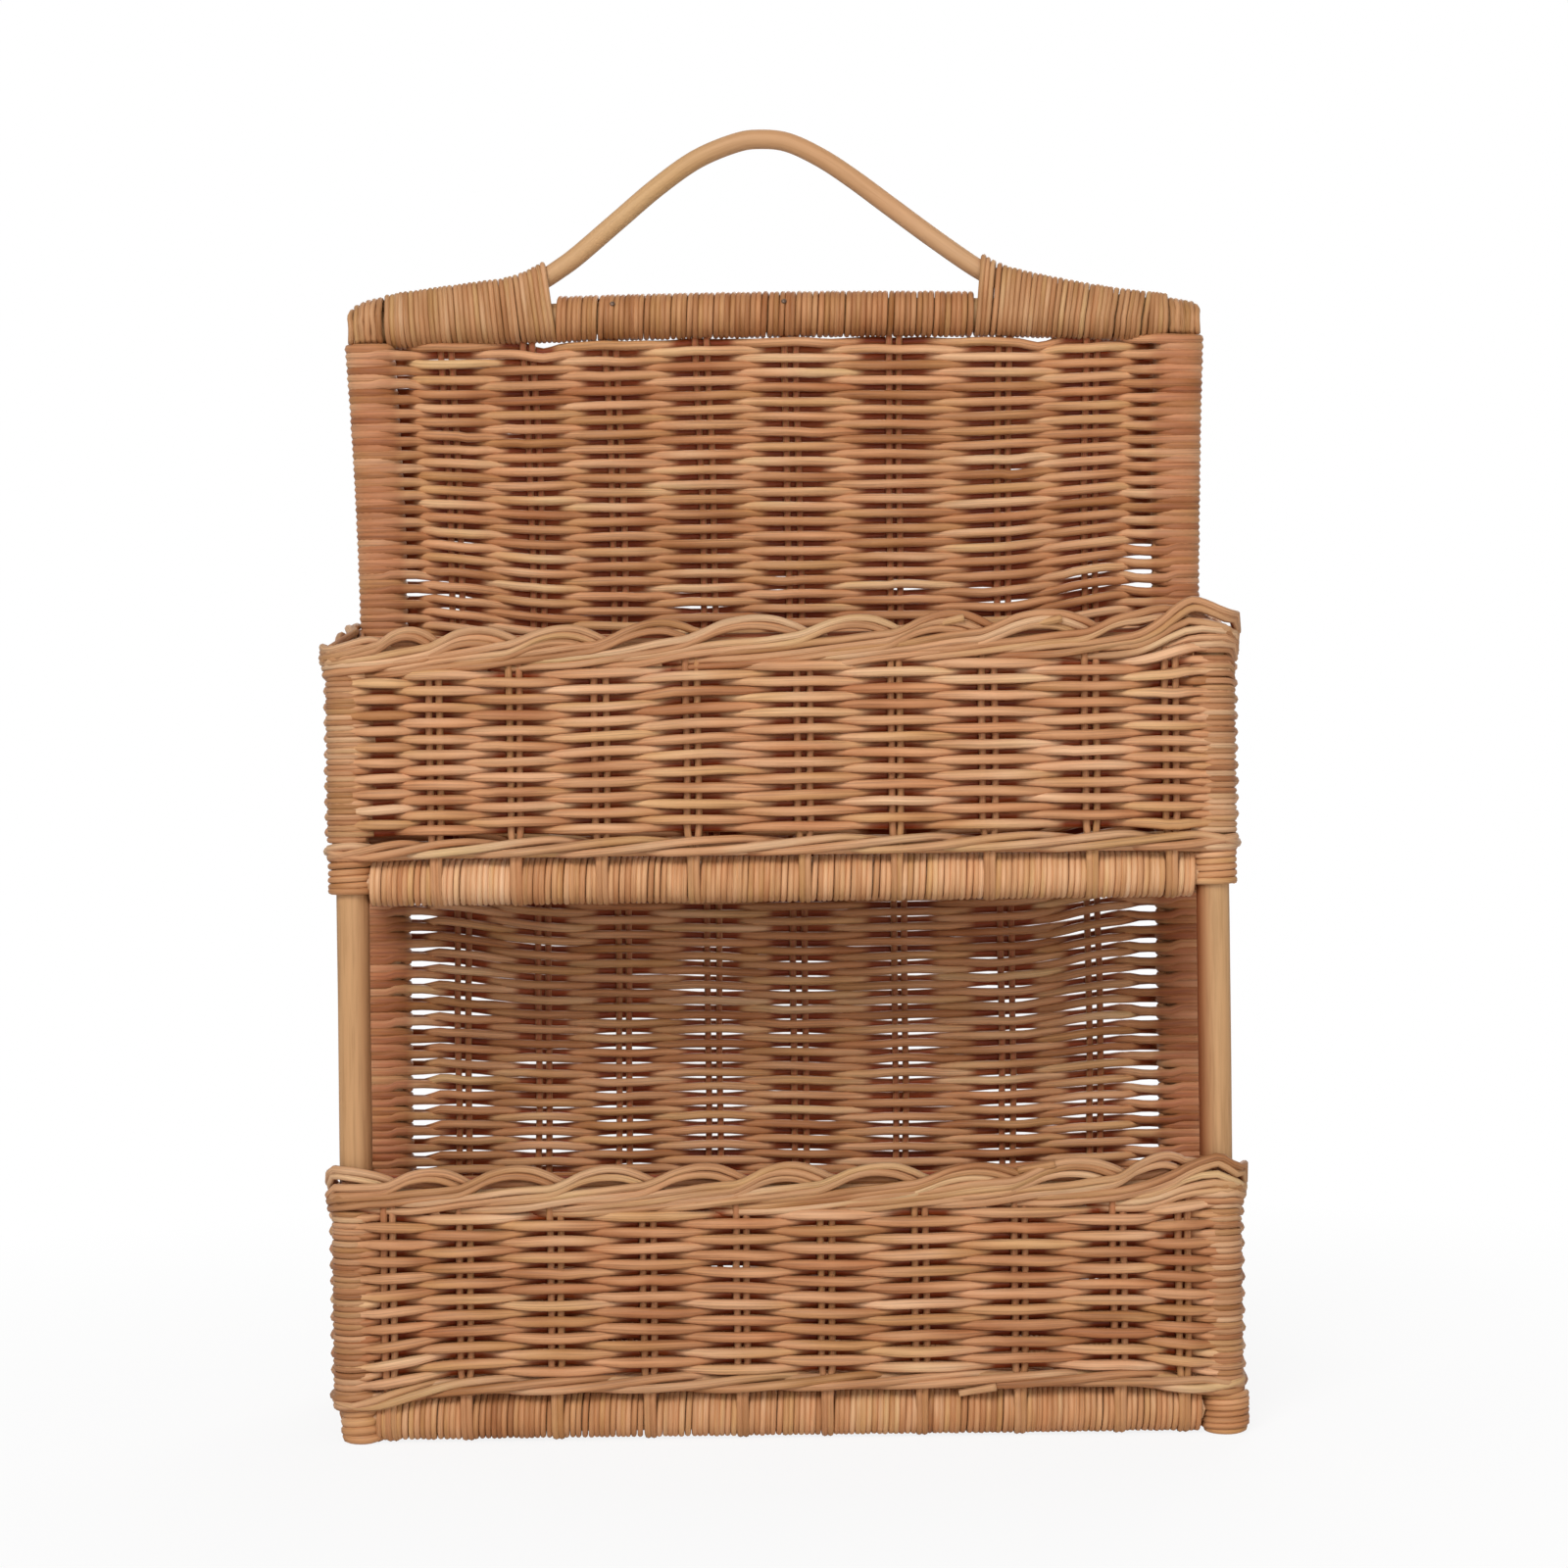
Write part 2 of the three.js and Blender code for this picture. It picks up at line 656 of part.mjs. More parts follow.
// A tray's wall: plain weave between a thicker wale at its foot and another under its rim
function wallSection({ half }, lift) {
  const proud = half + waleProud;
  const top = wallTop + lift;
  return [
    [-half, wallBottom], [proud, wallBottom], [proud, wallBottom + waleHeight],
    [half, wallBottom + waleHeight], [half, top - waleHeight], [proud, top - waleHeight],
    [proud, top], [-half, top],
  ].map(([x, y]) => new THREE.Vector2(x, y));
}

function wallWeave(pairs, sideRise) {
  const stations = strapStations(pairs, thicknessHalf, postWrapThickness / 2);
  const holes = pairs.map((pair) => {
    const bore = raise(new THREE.Shape(pairOutline(clearance)), [wallBottom - overrun, rimBottom + overrun]);
    return bore.translate(pair, frontY - frontStakeOffset, 0);
  });
  return cut(strap(stations, wallSection, sideRise), ...holes);
}

// The plaited rim, highest between the stakes that turn down into it
function rimSection({ half, kind }, lift) {
  const foot = rimBottom + lift;
  const height = rimHeight * scallopShares[kind];
  return [
    [-half / 2, foot], [half / 2, foot], [half, foot + height / 2],
    [half / 2, foot + height], [-half / 2, foot + height], [-half, foot + height / 2],
  ].map(([x, y]) => new THREE.Vector2(x, y));
}

function rimBorder(pairs, sideRise) {
  const rimHalf = rimThickness / 2;
  return strap(strapStations(pairs, { pair: pairHalf, bay: rimHalf }, rimHalf), rimSection, sideRise);
}

// A pair of stakes: down through the wall, in front of the rail and on round under it
function hookedPair() {
  const outline = pairOutline(0);
  const rings = [outline.map(({ x, y }) => new THREE.Vector3(x, y - frontStakeOffset, wallTop))];
  for (let i = 1; i <= loopSteps; i += 2) {
    const angle = i * halfStep;
    if (angle > Math.PI) break;
    rings.push(outline.map(({ x, y }) => {
      const out = (frontStakeOffset - y) * mitre;
      return new THREE.Vector3(x, -out * Math.cos(angle), -out * Math.sin(angle));
    }));
  }
  rings.push(outline.map(({ x, y }) => new THREE.Vector3(x, frontStakeOffset - y, 0)));
  return loft(rings, outline);
}

// The room that a hooked pair takes in a rail's wrap, as a flat hook along x
function hookSlot(place) {
  const inner = railRadius - clearance;
  const outer = wrapRadius + 2 * clearance;
  const side = Math.tan(halfStep);
  const sweep = (r) => [[-r, -r * side], [-r * side, -r], [r * side, -r], [r, -r * side]];
  const points = [
    [-outer, outer], ...sweep(outer), [outer, clearance],
    [inner, clearance], ...sweep(inner).reverse(), [-inner, outer],
  ].map(([y, z]) => new THREE.Vector2(y, z));
  const width = pairWidth + 2 * clearance;
  const settings = { depth: width, bevelEnabled: false };
  const slot = new THREE.ExtrudeGeometry(new THREE.Shape(points), settings);
  return slot.rotateX(Math.PI / 2).rotateZ(Math.PI / 2).translate(place - width / 2, 0, 0);
}

function frontWrap(pairs) {
  const inner = railRadius + clearance;
  const sleeve = ribbedSleeve(inner, wrapRadius, -wrapEnd, wrapEnd, []);
  return cut(sleeve, ...pairs.map(hookSlot));
}

function sideRail() {
  const from = frontY + postRadius / 2;
  const to = backY - postRadius / 2;
  const rail = roundAlongY(sideRailRadius, from, to);
  return cut(rail, lashedPostSpace(0, frontY), wovenPostSpace(0, backY, overrun * 2));
}

// A tray's floor: woven across from side rail to side rail, behind the hooked stakes
function floorWeave(pairs, to) {
  const shape = panelShape(sideRailRadius, wrappedSideRadius, pairs, []);
  const panel = raise(shape, [0, to - frontY - hookReach - clearance]);
  return panel.rotateX(Math.PI / 2).translate(0, to, 0);
}

// A lashing of a front post, where the rails meet it
function lashing(name, from, to, turns) {
  return winding({
    name, from, to, turns,
    width: lashingWidth,
    support: () => postRadius,
    put: (along, point) => new THREE.Vector3(point.x, point.y, along),
  });
}

function addTray({ name, height, shares, sideRise, floorBack, lashings }) {
  const tray = new THREE.Group();
  tray.position.z = height;
  basket.add(tray);
  const pairs = pairPlaces(shares);
  add(tray, `${name}_front_rail`, railBetweenPosts(lashedPostSpace), 'pole', 0, frontY);
  add(tray, `${name}_left_rail`, sideRail(), 'pole', -halfSpan);
  add(tray, `${name}_right_rail`, sideRail(), 'pole', halfSpan);
  add(tray, `${name}_front_rail_wrap`, frontWrap(pairs), 'binding', 0, frontY);
  add(tray, `${name}_wall_weave`, wallWeave(pairs, sideRise), 'weave');
  add(tray, `${name}_floor_weave`, floorWeave(pairs, floorBack), 'weave');
  add(tray, `${name}_rim_border`, rimBorder(pairs, sideRise), 'weave');
  pairs.forEach((pair, i) => {
    add(tray, `${name}_stake_pair_${i + 1}`, hookedPair(), 'stake', pair, frontY);
  });
  for (const [side, x] of [['left', -halfSpan], ['right', halfSpan]]) {
    const label = `${name}_${side}_${lashings.word}`;
    add(tray, label, lashing(label, lashings.from, lashings.to, lashings.turns), 'binding', x, frontY);
  }
  return tray;
}

const backRailY = backY - pairHalf - clearance - sideRailRadius;
const upperTray = addTray({
  name: 'upper',
  height: upperRailHeight,
  shares: upperPairShares,
  sideRise: upperSideRise,
  floorBack: backRailY - sideRailRadius - clearance,
  lashings: {
    word: 'lashing', from: -upperLashingDrop, to: wrapRadius, turns: upperLashingTurns,
  },
});
addTray({
  name: 'lower',
  height: lowerRailHeight,
  shares: lowerPairShares,
  sideRise: lowerSideRise,
  floorBack: backY - wrapRadius - clearance,
  lashings: {
    word: 'foot_lashing', from: -wrapRadius, to: wrapRadius, turns: footLashingTurns,
  },
});

// The upper tray's back rail butts between its side rails, just in front of the woven back
function upperBackRail() {
  const reach = sideRailRadius + clearance;
  const rails = [-halfSpan, halfSpan].map(
    (x) => roundAlongY(reach, -overrun, overrun, saddleSides).translate(x, 0, 0),
  );
  const posts = [-halfSpan, halfSpan].map(
    (x) => wovenPostSpace(x, backY - backRailY, overrun * 2),
  );
  return cut(roundAlongX(sideRailRadius, halfSpan - sideRailRadius / 2), ...rails, ...posts);
}
add(upperTray, 'upper_back_rail', upperBackRail(), 'pole', 0, backRailY);

// The front posts stand up through both trays
add(basket, 'front_left_post', pole(postRadius, frontPostHeight), 'pole', -halfSpan, frontY);
add(basket, 'front_right_post', pole(postRadius, frontPostHeight), 'pole', halfSpan, frontY);

export default basket;
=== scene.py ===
import math
import random

import bmesh
import bpy
import numpy as np
from mathutils import Matrix, Vector, noise


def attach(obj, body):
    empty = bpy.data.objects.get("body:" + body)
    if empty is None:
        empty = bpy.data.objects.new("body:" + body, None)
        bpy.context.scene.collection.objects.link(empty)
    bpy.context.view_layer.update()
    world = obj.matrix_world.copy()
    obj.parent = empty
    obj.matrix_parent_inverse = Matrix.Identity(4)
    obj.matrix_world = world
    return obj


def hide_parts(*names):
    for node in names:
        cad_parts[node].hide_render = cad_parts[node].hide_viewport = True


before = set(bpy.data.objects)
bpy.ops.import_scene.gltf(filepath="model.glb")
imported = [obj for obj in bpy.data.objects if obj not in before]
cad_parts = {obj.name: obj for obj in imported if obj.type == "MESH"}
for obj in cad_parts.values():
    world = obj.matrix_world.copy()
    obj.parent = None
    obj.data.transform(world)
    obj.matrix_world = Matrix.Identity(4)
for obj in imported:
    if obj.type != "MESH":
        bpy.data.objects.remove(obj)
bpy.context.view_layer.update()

# Sizes in millimetres, as in the solids. X runs to the right, Y to the back and Z up.
MM = 0.001

# Half the span of the posts, the planes of the front and the back, and the upper back rail
HALF_SPAN = 170.0
FRONT_Y = -52.85
BACK_Y = 57.15
DEPTH = 110
BACK_RAIL_Y = 46.65

# Poles and canes
POST_RADIUS = 6.5
RAIL_RADIUS = 7.0
SIDE_RAIL_RADIUS = 6.0
BOW_RADIUS = 4.2
STAKE_RADIUS = 1.4
WEAVER_RADIUS = 1.74
WRAP_RADIUS = 1.32

# The top rail: its height, half its length, how far its ends bend down, and how much lower its
# right end lies, from here over this stretch
TOP_RAIL_Z = 459.8
TOP_RAIL_HALF = 182.4
CAMBER = 4.0
RIGHT_DROP, RIGHT_DROP_FROM, RIGHT_DROP_OVER = 1.0, 100, 70

# How much the back widens from this height to the top rail, and the share of it on the right
FLARE = 5.5
FLARE_Z = 336.0
FLARE_POWER = 1.6
RIGHT_FLARE_SHARE = 0.62

# The rails of the trays, and how far their stakes stand from the middle of a front or side rail
LOWER_RAIL_Z = 10.2
UPPER_RAIL_Z = 221.0
FRONT_LINE = 8.7
SIDE_LINE = 7.9

# A back post with its weavers round it
WOVEN_POST = 9.6

# The outer end of the bindings of the bow, and their lengths
BINDING_END = 168.4
LEFT_BINDING = 74.2
RIGHT_BINDING = 84.0

# Where the pairs of stakes stand
BACK_PAIRS = [HALF_SPAN * s for s in (-0.812, -0.611, -0.409, -0.181, 0.038, 0.292, 0.562, 0.783)]
UPPER_PAIRS = [HALF_SPAN * s for s in
               (-0.8, -0.615, -0.417, -0.205, 0.052, 0.265, 0.479, 0.716, 0.9)]
LOWER_PAIRS = [HALF_SPAN * s for s in
               (-0.92, -0.745, -0.535, -0.321, -0.107, 0.089, 0.308, 0.535, 0.766, 0.914)]
SIDE_PAIRS = [FRONT_Y + DEPTH * s for s in (0.7, 0.32)]

# How far apart the two stakes of each pair stand
BACK_GAPS = [4.4, 4.2, 4.5, 4.9, 5.1, 4.4, 4.6, 4.5]
UPPER_GAPS = [3.9, 4.0, 4.9, 4.5, 4.8, 3.4, 5.2, 4.8, 4.2]
LOWER_GAPS = [3.6, 4.2, 4.0, 4.3, 3.9, 4.1, 4.3, 4.0, 4.3, 3.6]
SIDE_GAP = 4.0

dice = random.Random(11)


def smooth(t):
    t = min(max(t, 0.0), 1.0)
    return t * t * (3 - 2 * t)


def grows(value, start, over):
    """0 up to the start, then smoothly up to 1 over a stretch"""
    return smooth((value - start) / over)


def fades(value, end, over):
    """1, then smoothly down to 0 over a stretch that ends at the end"""
    return smooth((end - value) / over)


def lerp(a, b, t):
    return a + (b - a) * t


def arc(start, end, count):
    """Angles in degrees, each with its cosine and its sine"""
    return [(degrees, math.cos(math.radians(degrees)), math.sin(math.radians(degrees)))
            for degrees in np.linspace(start, end, count)]


def parity(number):
    return 1 if number % 2 == 0 else -1


def lengths_along(points):
    """How far along a line each of its points lies"""
    steps = np.linalg.norm(np.diff(points, axis=0), axis=1)
    return np.concatenate([[0], np.cumsum(steps)])


def wander(seed, size, *at):
    """A slow seeded wobble between about -1 and 1, over places in millimetres"""
    gain, seed_step = 1.7, 7.31
    x, y = (list(at) + [0.0])[:2]
    return gain * noise.noise(Vector((x / size, y / size, seed * seed_step)))


def colour(code):
    """A colour code, such as #aabbcc, as linear red, green, blue and 1"""
    parts = [int(code[i:i + 2], 16) / 255 for i in (1, 3, 5)]
    return [p / 12.92 if p <= 0.04045 else ((p + 0.055) / 1.055) ** 2.4 for p in parts] + [1.0]


class Socket:
    """A node's output, on which + - and * add Math nodes"""

    def __init__(self, finish, output):
        self.finish = finish
        self.output = output

    def math(self, operation, *others):
        return self.finish.node("ShaderNodeMath", {"operation": operation}, self, *others)

    def __add__(self, other):
        return self.math("ADD", other)

    __radd__ = __add__

    def __mul__(self, other):
        return self.math("MULTIPLY", other)

    def __sub__(self, other):
        return self.math("SUBTRACT", other)


class Finish:
    """A material or the room around the basket, and the nodes that are added to it"""

    def __init__(self, made, shader="Principled BSDF"):
        self.made = made
        self.made.use_nodes = True
        self.tree = self.made.node_tree
        self.shader = self.tree.nodes[shader]

    def node(self, kind, settings, *inputs, output=0, **named):
        """A new node with its settings, and its inputs by number or by name"""
        made = self.tree.nodes.new(kind)
        for key, value in settings.items():
            setattr(made, key, value)
        for key, value in list(enumerate(inputs)) + list(named.items()):
            self.join(value, made.inputs[key])
        return Socket(self, made.outputs[output])

    def join(self, value, socket):
        if isinstance(value, Socket):
            self.tree.links.new(value.output, socket)
        else:
            socket.default_value = value

    def fix(self, **values):
        """Set the shader's own inputs"""
        for key, value in values.items():
            self.join(value, self.shader.inputs[key.replace("_", " ")])

    def mix(self, factor, a, b, blend="MIX"):
        """Two colours mixed. A Mix node keeps them in its inputs 6 and 7 and its output 2."""
        settings = {"data_type": "RGBA", "blend_type": blend}
        mixed = self.node("ShaderNodeMix", settings, factor, output=2)
        for value, at in ((a, 6), (b, 7)):
            self.join(value, mixed.output.node.inputs[at])
        return mixed

    def noise(self, place, scale, detail=2.0, rough=0.5):
        return self.node("ShaderNodeTexNoise", {"noise_dimensions": "3D"}, Vector=place,
                         Scale=scale, Detail=detail, Roughness=rough)

    def ramp(self, factor, stops):
        toned = self.node("ShaderNodeValToRGB", {}, factor)
        elements = toned.output.node.color_ramp.elements
        while len(elements) < len(stops):
            elements.new(0.5)
        for element, (place, tone) in zip(elements, stops):
            element.position = place
            element.color = tone
        return toned

    def vector(self, x, y, z):
        return self.node("ShaderNodeCombineXYZ", {}, x, y, z)

    def attribute(self, name, output):
        return self.node("ShaderNodeAttribute", {"attribute_name": name}, output=output)

    def place(self):
        """The place on the object itself"""
        return self.node("ShaderNodeTexCoord", {}, output=3)


def material(name):
    return Finish(bpy.data.materials.new(name))


# Painted shade: what a shaded place keeps of a cane's red, green and blue
PAINTED_SHADE_SHARE = (0.44, 0.13, 0.03, 1)

# Reddish and greenish stretches of a cane, as shares of its colour
HUES = [(0.34, (1.035, 0.95, 0.9, 1)), (0.5, (1, 1, 1, 1)), (0.66, (0.98, 1.03, 0.86, 1))]


def cane_finish(name, tones, spread, drift_size, roughness, grain=1.0, blushing=0.8):
    """Cane with its fibres lengthwise. Each strand has its own tone, which drifts along it, and
    it is painted darker and redder where it lies in shade: painted shade where a strand lies
    against what it is woven round, on undersides and on other shaded sides. Spread is how far
    the tones of the strands lie apart, drift_size is in metres, and grain and blushing are how
    strong the fibres and the changes of hue are."""
    cane = material(name)
    tint = cane.attribute("tint", 2)
    painted_shade = cane.attribute("painted_shade", 2)
    along = cane.node("ShaderNodeSeparateXYZ", {}, cane.attribute("fibre", 1))
    across = Socket(cane, along.output.node.outputs[1])
    round_it = Socket(cane, along.output.node.outputs[2])
    own = tint * 83.0

    def drifting(rate, shift):
        return cane.noise(cane.vector(along * (rate / drift_size), shift, across * 0.2), 1.0, 2.0)

    def fibres(lengthwise, crosswise, detail, rough):
        place = cane.vector(along * lengthwise, across * crosswise + own, round_it * crosswise)
        return cane.noise(place, 1.0, detail, rough)

    drift = drifting(1, own)
    blush = drifting(0.7, own + 31.0)
    streak = fibres(24.0, 3.2, 4.0, 0.6)
    fine = fibres(60.0, 8.0, 2.0, 0.5)
    place = (tint - 0.5) * spread + (drift - 0.5) * 1.9 + 0.5
    tones = tones.split()
    base = cane.ramp(place, [(i / (len(tones) - 1), colour(tone)) for i, tone in enumerate(tones)])
    hued = cane.mix(blushing, base, cane.ramp(blush, HUES), "MULTIPLY")
    light, dark = 1 + 0.08 * grain, 1 - 0.22 * grain
    shade = cane.ramp(streak, [(0.36, (dark, dark * 0.97, dark * 0.93, 1)), (0.5, (1, 1, 1, 1)),
                               (0.65, (light, light, light, 1))])
    lined = cane.mix(1.0, hued, shade, "MULTIPLY")
    # Painted shade: the colour is darkened and reddened where the strand lies in shade
    deep = cane.mix(painted_shade, lined, cane.mix(1.0, lined, PAINTED_SHADE_SHARE, "MULTIPLY"))
    height = streak * 0.7 + fine * 0.3
    bump = cane.node("ShaderNodeBump", {}, Strength=0.25 * grain, Distance=0.0003, Height=height)
    cane.fix(Base_Color=deep, Roughness=roughness + streak * 0.16, Normal=bump,
             Specular_IOR_Level=0.26)
    return cane.made


WOVEN = {"spread": 0.75, "drift_size": 0.05, "roughness": 0.5, "grain": 1.4}
WOUND = {"spread": 0.5, "drift_size": 0.035, "roughness": 0.48}
OLD_WOUND = {"spread": 0.15, "drift_size": 0.035, "roughness": 0.48}
weave_finish = cane_finish("woven_cane", "#a26b45 #b58058 #c18e66 #ca9a74 #d4aa85", **WOVEN)
back_finish = cane_finish("back_woven_cane", "#a06841 #b37d54 #bf8a61 #c9966e #d2a67e", **WOVEN)
rim_finish = cane_finish("rim_cane", "#98653f #aa7952 #b5865f #be916b #c7a07b", **WOVEN)
stake_finish = cane_finish("stake_cane", "#ac7950 #ba885e #c5956b", 0.4, 0.06, 0.52)
wrap_finish = cane_finish("wrap_cane", "#ab754c #bd895e #ca986d #d3a47b #dab08a", **WOUND)
binding_finish = cane_finish("binding_cane", "#99653e #ac784e #ba865b #c59369 #cfa27a", **WOUND)
handle_finish = cane_finish("handle_binding_cane", "#90613a #a27249 #af7f56 #ba8c63 #c39973",
                            **OLD_WOUND)
old_wrap_finish = cane_finish("middle_wrap_cane", "#90592f #a26e46 #b07c52 #be8b61 #ca9a72",
                              **WOUND)
pole_finish = cane_finish("pole_cane", "#aa7e54 #b08659 #b78d62 #be966a", 0.3, 0.2, 0.5, 0.7, 0.3)
bow_finish = cane_finish("bow_cane", "#b4875c #b98e64 #bf946c #c49c75", 0.3, 0.12, 0.46, 0.35)


class Strand:
    """A length of cane: its points in millimetres, the share of the radius that it has at each,
    and at each the side of it that gets painted shade, and how much"""

    def __init__(self, points, thick=None, painted_shade=None):
        self.points = np.asarray(points, float)
        count = len(self.points)
        self.thick = np.ones(count) if thick is None else np.asarray(thick, float)
        self.painted_shade = np.zeros((count, 3)) if painted_shade is None else np.asarray(painted_shade, float)

    def vary(self, amount=0.035):
        """Slightly uneven thickness along the cane"""
        seed = dice.uniform(0, 900)
        own = 1 + dice.uniform(-amount, amount) * 0.7
        uneven = [own + amount * wander(seed, 40, s) for s in lengths_along(self.points)]
        self.thick = self.thick * np.array(uneven)
        return self


def into_scene(name, data):
    piece = bpy.data.objects.new(name, data)
    bpy.context.scene.collection.objects.link(piece)
    return piece


def show(name, mesh, replaced=()):
    """Put a new piece in the scene, on the one body that there is"""
    piece = into_scene(name, mesh)
    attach(piece, "root")
    if replaced:
        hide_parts(*replaced)


def write_attributes(mesh, tint, painted_shade, fibre):
    """Each vertex keeps its strand's own tone, how much painted shade it has, and its place along
    the fibres and round the strand"""
    for key, values in (("tint", tint), ("painted_shade", painted_shade)):
        kept = mesh.attributes.new(key, "FLOAT", "POINT")
        kept.data.foreach_set("value", values.astype(np.float32))
    kept = mesh.attributes.new("fibre", "FLOAT_VECTOR", "POINT")
    kept.data.foreach_set("vector", fibre.astype(np.float32).ravel())


def close_ends(mesh, sides):
    """Fill the open ends of round strands with this many sides, and turn the faces outwards"""
    ends = bmesh.new()
    ends.from_mesh(mesh)
    bmesh.ops.holes_fill(ends, edges=ends.edges, sides=sides)
    bmesh.ops.recalc_face_normals(ends, faces=ends.faces)
    ends.to_mesh(mesh)
    ends.free()


def strands(name, runs, radius, finish, replaced=(), rings=2):
    """Round strands along their points, as one closed mesh. More rings make them rounder."""
    curve = bpy.data.curves.new(name, "CURVE")
    curve.dimensions = "3D"
    curve.bevel_depth = radius * MM
    curve.bevel_resolution = rings
    ring = 2 * rings + 4  # the sides of a strand that Blender makes at this resolution
    tints, fibres, centres, covers = [], [], [], []
    turn = np.arange(ring) * (2 * math.pi / ring)
    for run in runs:
        count = len(run.points)
        spline = curve.splines.new("POLY")
        spline.points.add(count - 1)
        spline.points.foreach_set("co", np.c_[run.points * MM, np.ones(count)].ravel())
        spline.points.foreach_set("radius", run.thick)
        spline.use_smooth = True
        along = lengths_along(run.points) * MM + dice.random() * 9
        tints.append(np.full(count * ring, dice.random()))
        fibres.append(np.stack([
            np.repeat(along, ring), np.tile(np.cos(turn), count), np.tile(np.sin(turn), count),
        ], axis=1))
        centres.append(np.repeat(run.points * MM, ring, axis=0))
        covers.append(np.repeat(run.painted_shade, ring, axis=0))
    holder = bpy.data.objects.new(name, curve)
    mesh = bpy.data.meshes.new_from_object(holder)
    mesh.name = name
    bpy.data.objects.remove(holder)
    bpy.data.curves.remove(curve)
    places = np.empty(len(mesh.vertices) * 3)
    mesh.vertices.foreach_get("co", places)
    out = places.reshape(-1, 3) - np.concatenate(centres)
    out /= np.linalg.norm(out, axis=1)[:, None]
    # Painted shade on the side of each strand that faces its given shaded direction
    facing = (out * np.concatenate(covers)).sum(axis=1)
    painted_shade = np.clip(facing * 1.35 - 0.12, 0, 1)
    write_attributes(mesh, np.concatenate(tints), painted_shade, np.concatenate(fibres))
    mesh.materials.clear()
    close_ends(mesh, ring)
    mesh.materials.append(finish)
    mesh.shade_smooth()
    show(name, mesh, replaced)


def splay(points):
    """Above the trays the back widens a little towards the top rail"""
    points = np.asarray(points, float)
    above = (np.maximum(0, points[:, 2] - FLARE_Z) / (TOP_RAIL_Z - FLARE_Z)) ** FLARE_POWER
    wider = np.where(points[:, 0] < 0, FLARE, RIGHT_FLARE_SHARE * FLARE)
    points[:, 0] *= 1 + wider / HALF_SPAN * above
    return points


def rail_drop(x):
    """How far the middle of the top rail lies from its height in the middle"""
    bent = -CAMBER * (x / TOP_RAIL_HALF) ** 2
    return bent - RIGHT_DROP * grows(x, RIGHT_DROP_FROM, RIGHT_DROP_OVER)


def soften(values, times):
    """Round off the corners of a list of numbers"""
    values = np.asarray(values, float)
    for _ in range(times):
        inner = (values[:-2] + 2 * values[1:-1] + values[2:]) / 4
        values = np.concatenate([values[:1], inner, values[-1:]])
    return values


def smooth_line(points, steps):
    """Points on a smooth curve through the given ones"""
    points = [np.asarray(p, float) for p in points]
    padded = [2 * points[0] - points[1]] + points + [2 * points[-1] - points[-2]]
    line = []
    for a, b, c, d in zip(padded, padded[1:], padded[2:], padded[3:]):
        for i in range(steps):
            t = i / steps
            line.append(0.5 * (2 * b + (c - a) * t + (2 * a - 5 * b + 4 * c - d) * t * t
                               + (3 * b - a - 3 * c + d) * t ** 3))
    line.append(points[-1])
    return line


# Weaving

# How far a weaver lies from the middle of the weave where it passes a stake, a little pressed in
AMPLITUDE = STAKE_RADIUS + WEAVER_RADIUS - 0.15


def crossing(a, b, count):
    """Places and offsets between two nodes of a weaver, which goes over quickly from one side
    to the other and lies straight before and after"""
    made = []
    for i in range(1, count):
        t = i / count
        across = (1 - math.cos(math.pi * lerp(t, smooth(t), 0.3))) / 2
        made.append((lerp(a[0], b[0], t), lerp(a[1], b[1], across)))
    return made


def flat_half(gap):
    """Half the stretch over which a weaver lies flat on a pair"""
    return gap / 2 + 0.6


def pole_turn(mirror, first, pole):
    """The turn of a weaver round a pole, from behind or in front, as places and offsets"""
    start, sweep, steps = -24, 296, 14
    turn = []
    for i in range(steps + 1):
        angle = math.radians(start + sweep * i / steps)
        turn.append((mirror * (HALF_SPAN - pole * math.cos(angle)), first * pole * math.sin(angle)))
    return turn


def panel_row(index, pairs, gaps, pole, pole_level, level_at):
    """One weaver: round the left pole, over and under the pairs, and round the right pole. It
    gives along, out and level, where out is negative in front."""
    side = [-parity(index + k) for k in range(len(pairs))]
    left, right = pole_turn(-1, side[0], pole), pole_turn(1, side[-1], pole)
    nodes = []
    for pair, gap, s in zip(pairs, gaps, side):
        nodes += [(pair - flat_half(gap), s * AMPLITUDE), (pair + flat_half(gap), s * AMPLITUDE)]
    nodes = [left[-1]] + nodes + [right[-1]]
    middle = []
    for i, (a, b) in enumerate(zip(nodes, nodes[1:])):
        if i:
            middle.append(a)
        if a[1] != b[1]:
            middle += crossing(a, b, 8)
        elif i:
            middle.append(((a[0] + b[0]) / 2, a[1] * 1.03))
    points = [(x, out, pole_level) for x, out in left]
    points += [(x, out, level_at(x, abs(out) / AMPLITUDE)) for x, out in middle]
    points += [(x, out, pole_level) for x, out in reversed(right)]
    return points


def painted_shade_side(out):
    """How much painted shade a weaver that lies this far from the middle of the weave gets on its
    inner side
    """
    deep = smooth((abs(out) / AMPLITUDE - 0.3) / 0.6)
    return -deep if out > 0 else deep


# Where the weavers of a panel leave the last pairs and turn round the poles
WOVEN_TO = 159


def painted_shade_shares(row, on_pole):
    """How much painted shade a row of a panel gets. On the poles it is a share of its own."""
    return [painted_shade_side(out) if abs(x) < WOVEN_TO else on_pole(out) for x, out, level in row]


# The rows of the back: their pitch and number, and the levels of the first and the last
BACK_PITCH = 3.16
BACK_ROWS = 135
BACK_FIRST = 23.6
BACK_LAST = BACK_FIRST + BACK_PITCH * (BACK_ROWS - 1)
BACK_TURN = POST_RADIUS + 0.2 + WEAVER_RADIUS

# The rows in front of the stakes sit a touch nearer to this level than those behind them
EYE_LEVEL, EYE_FAR = 258.0, 1370.0


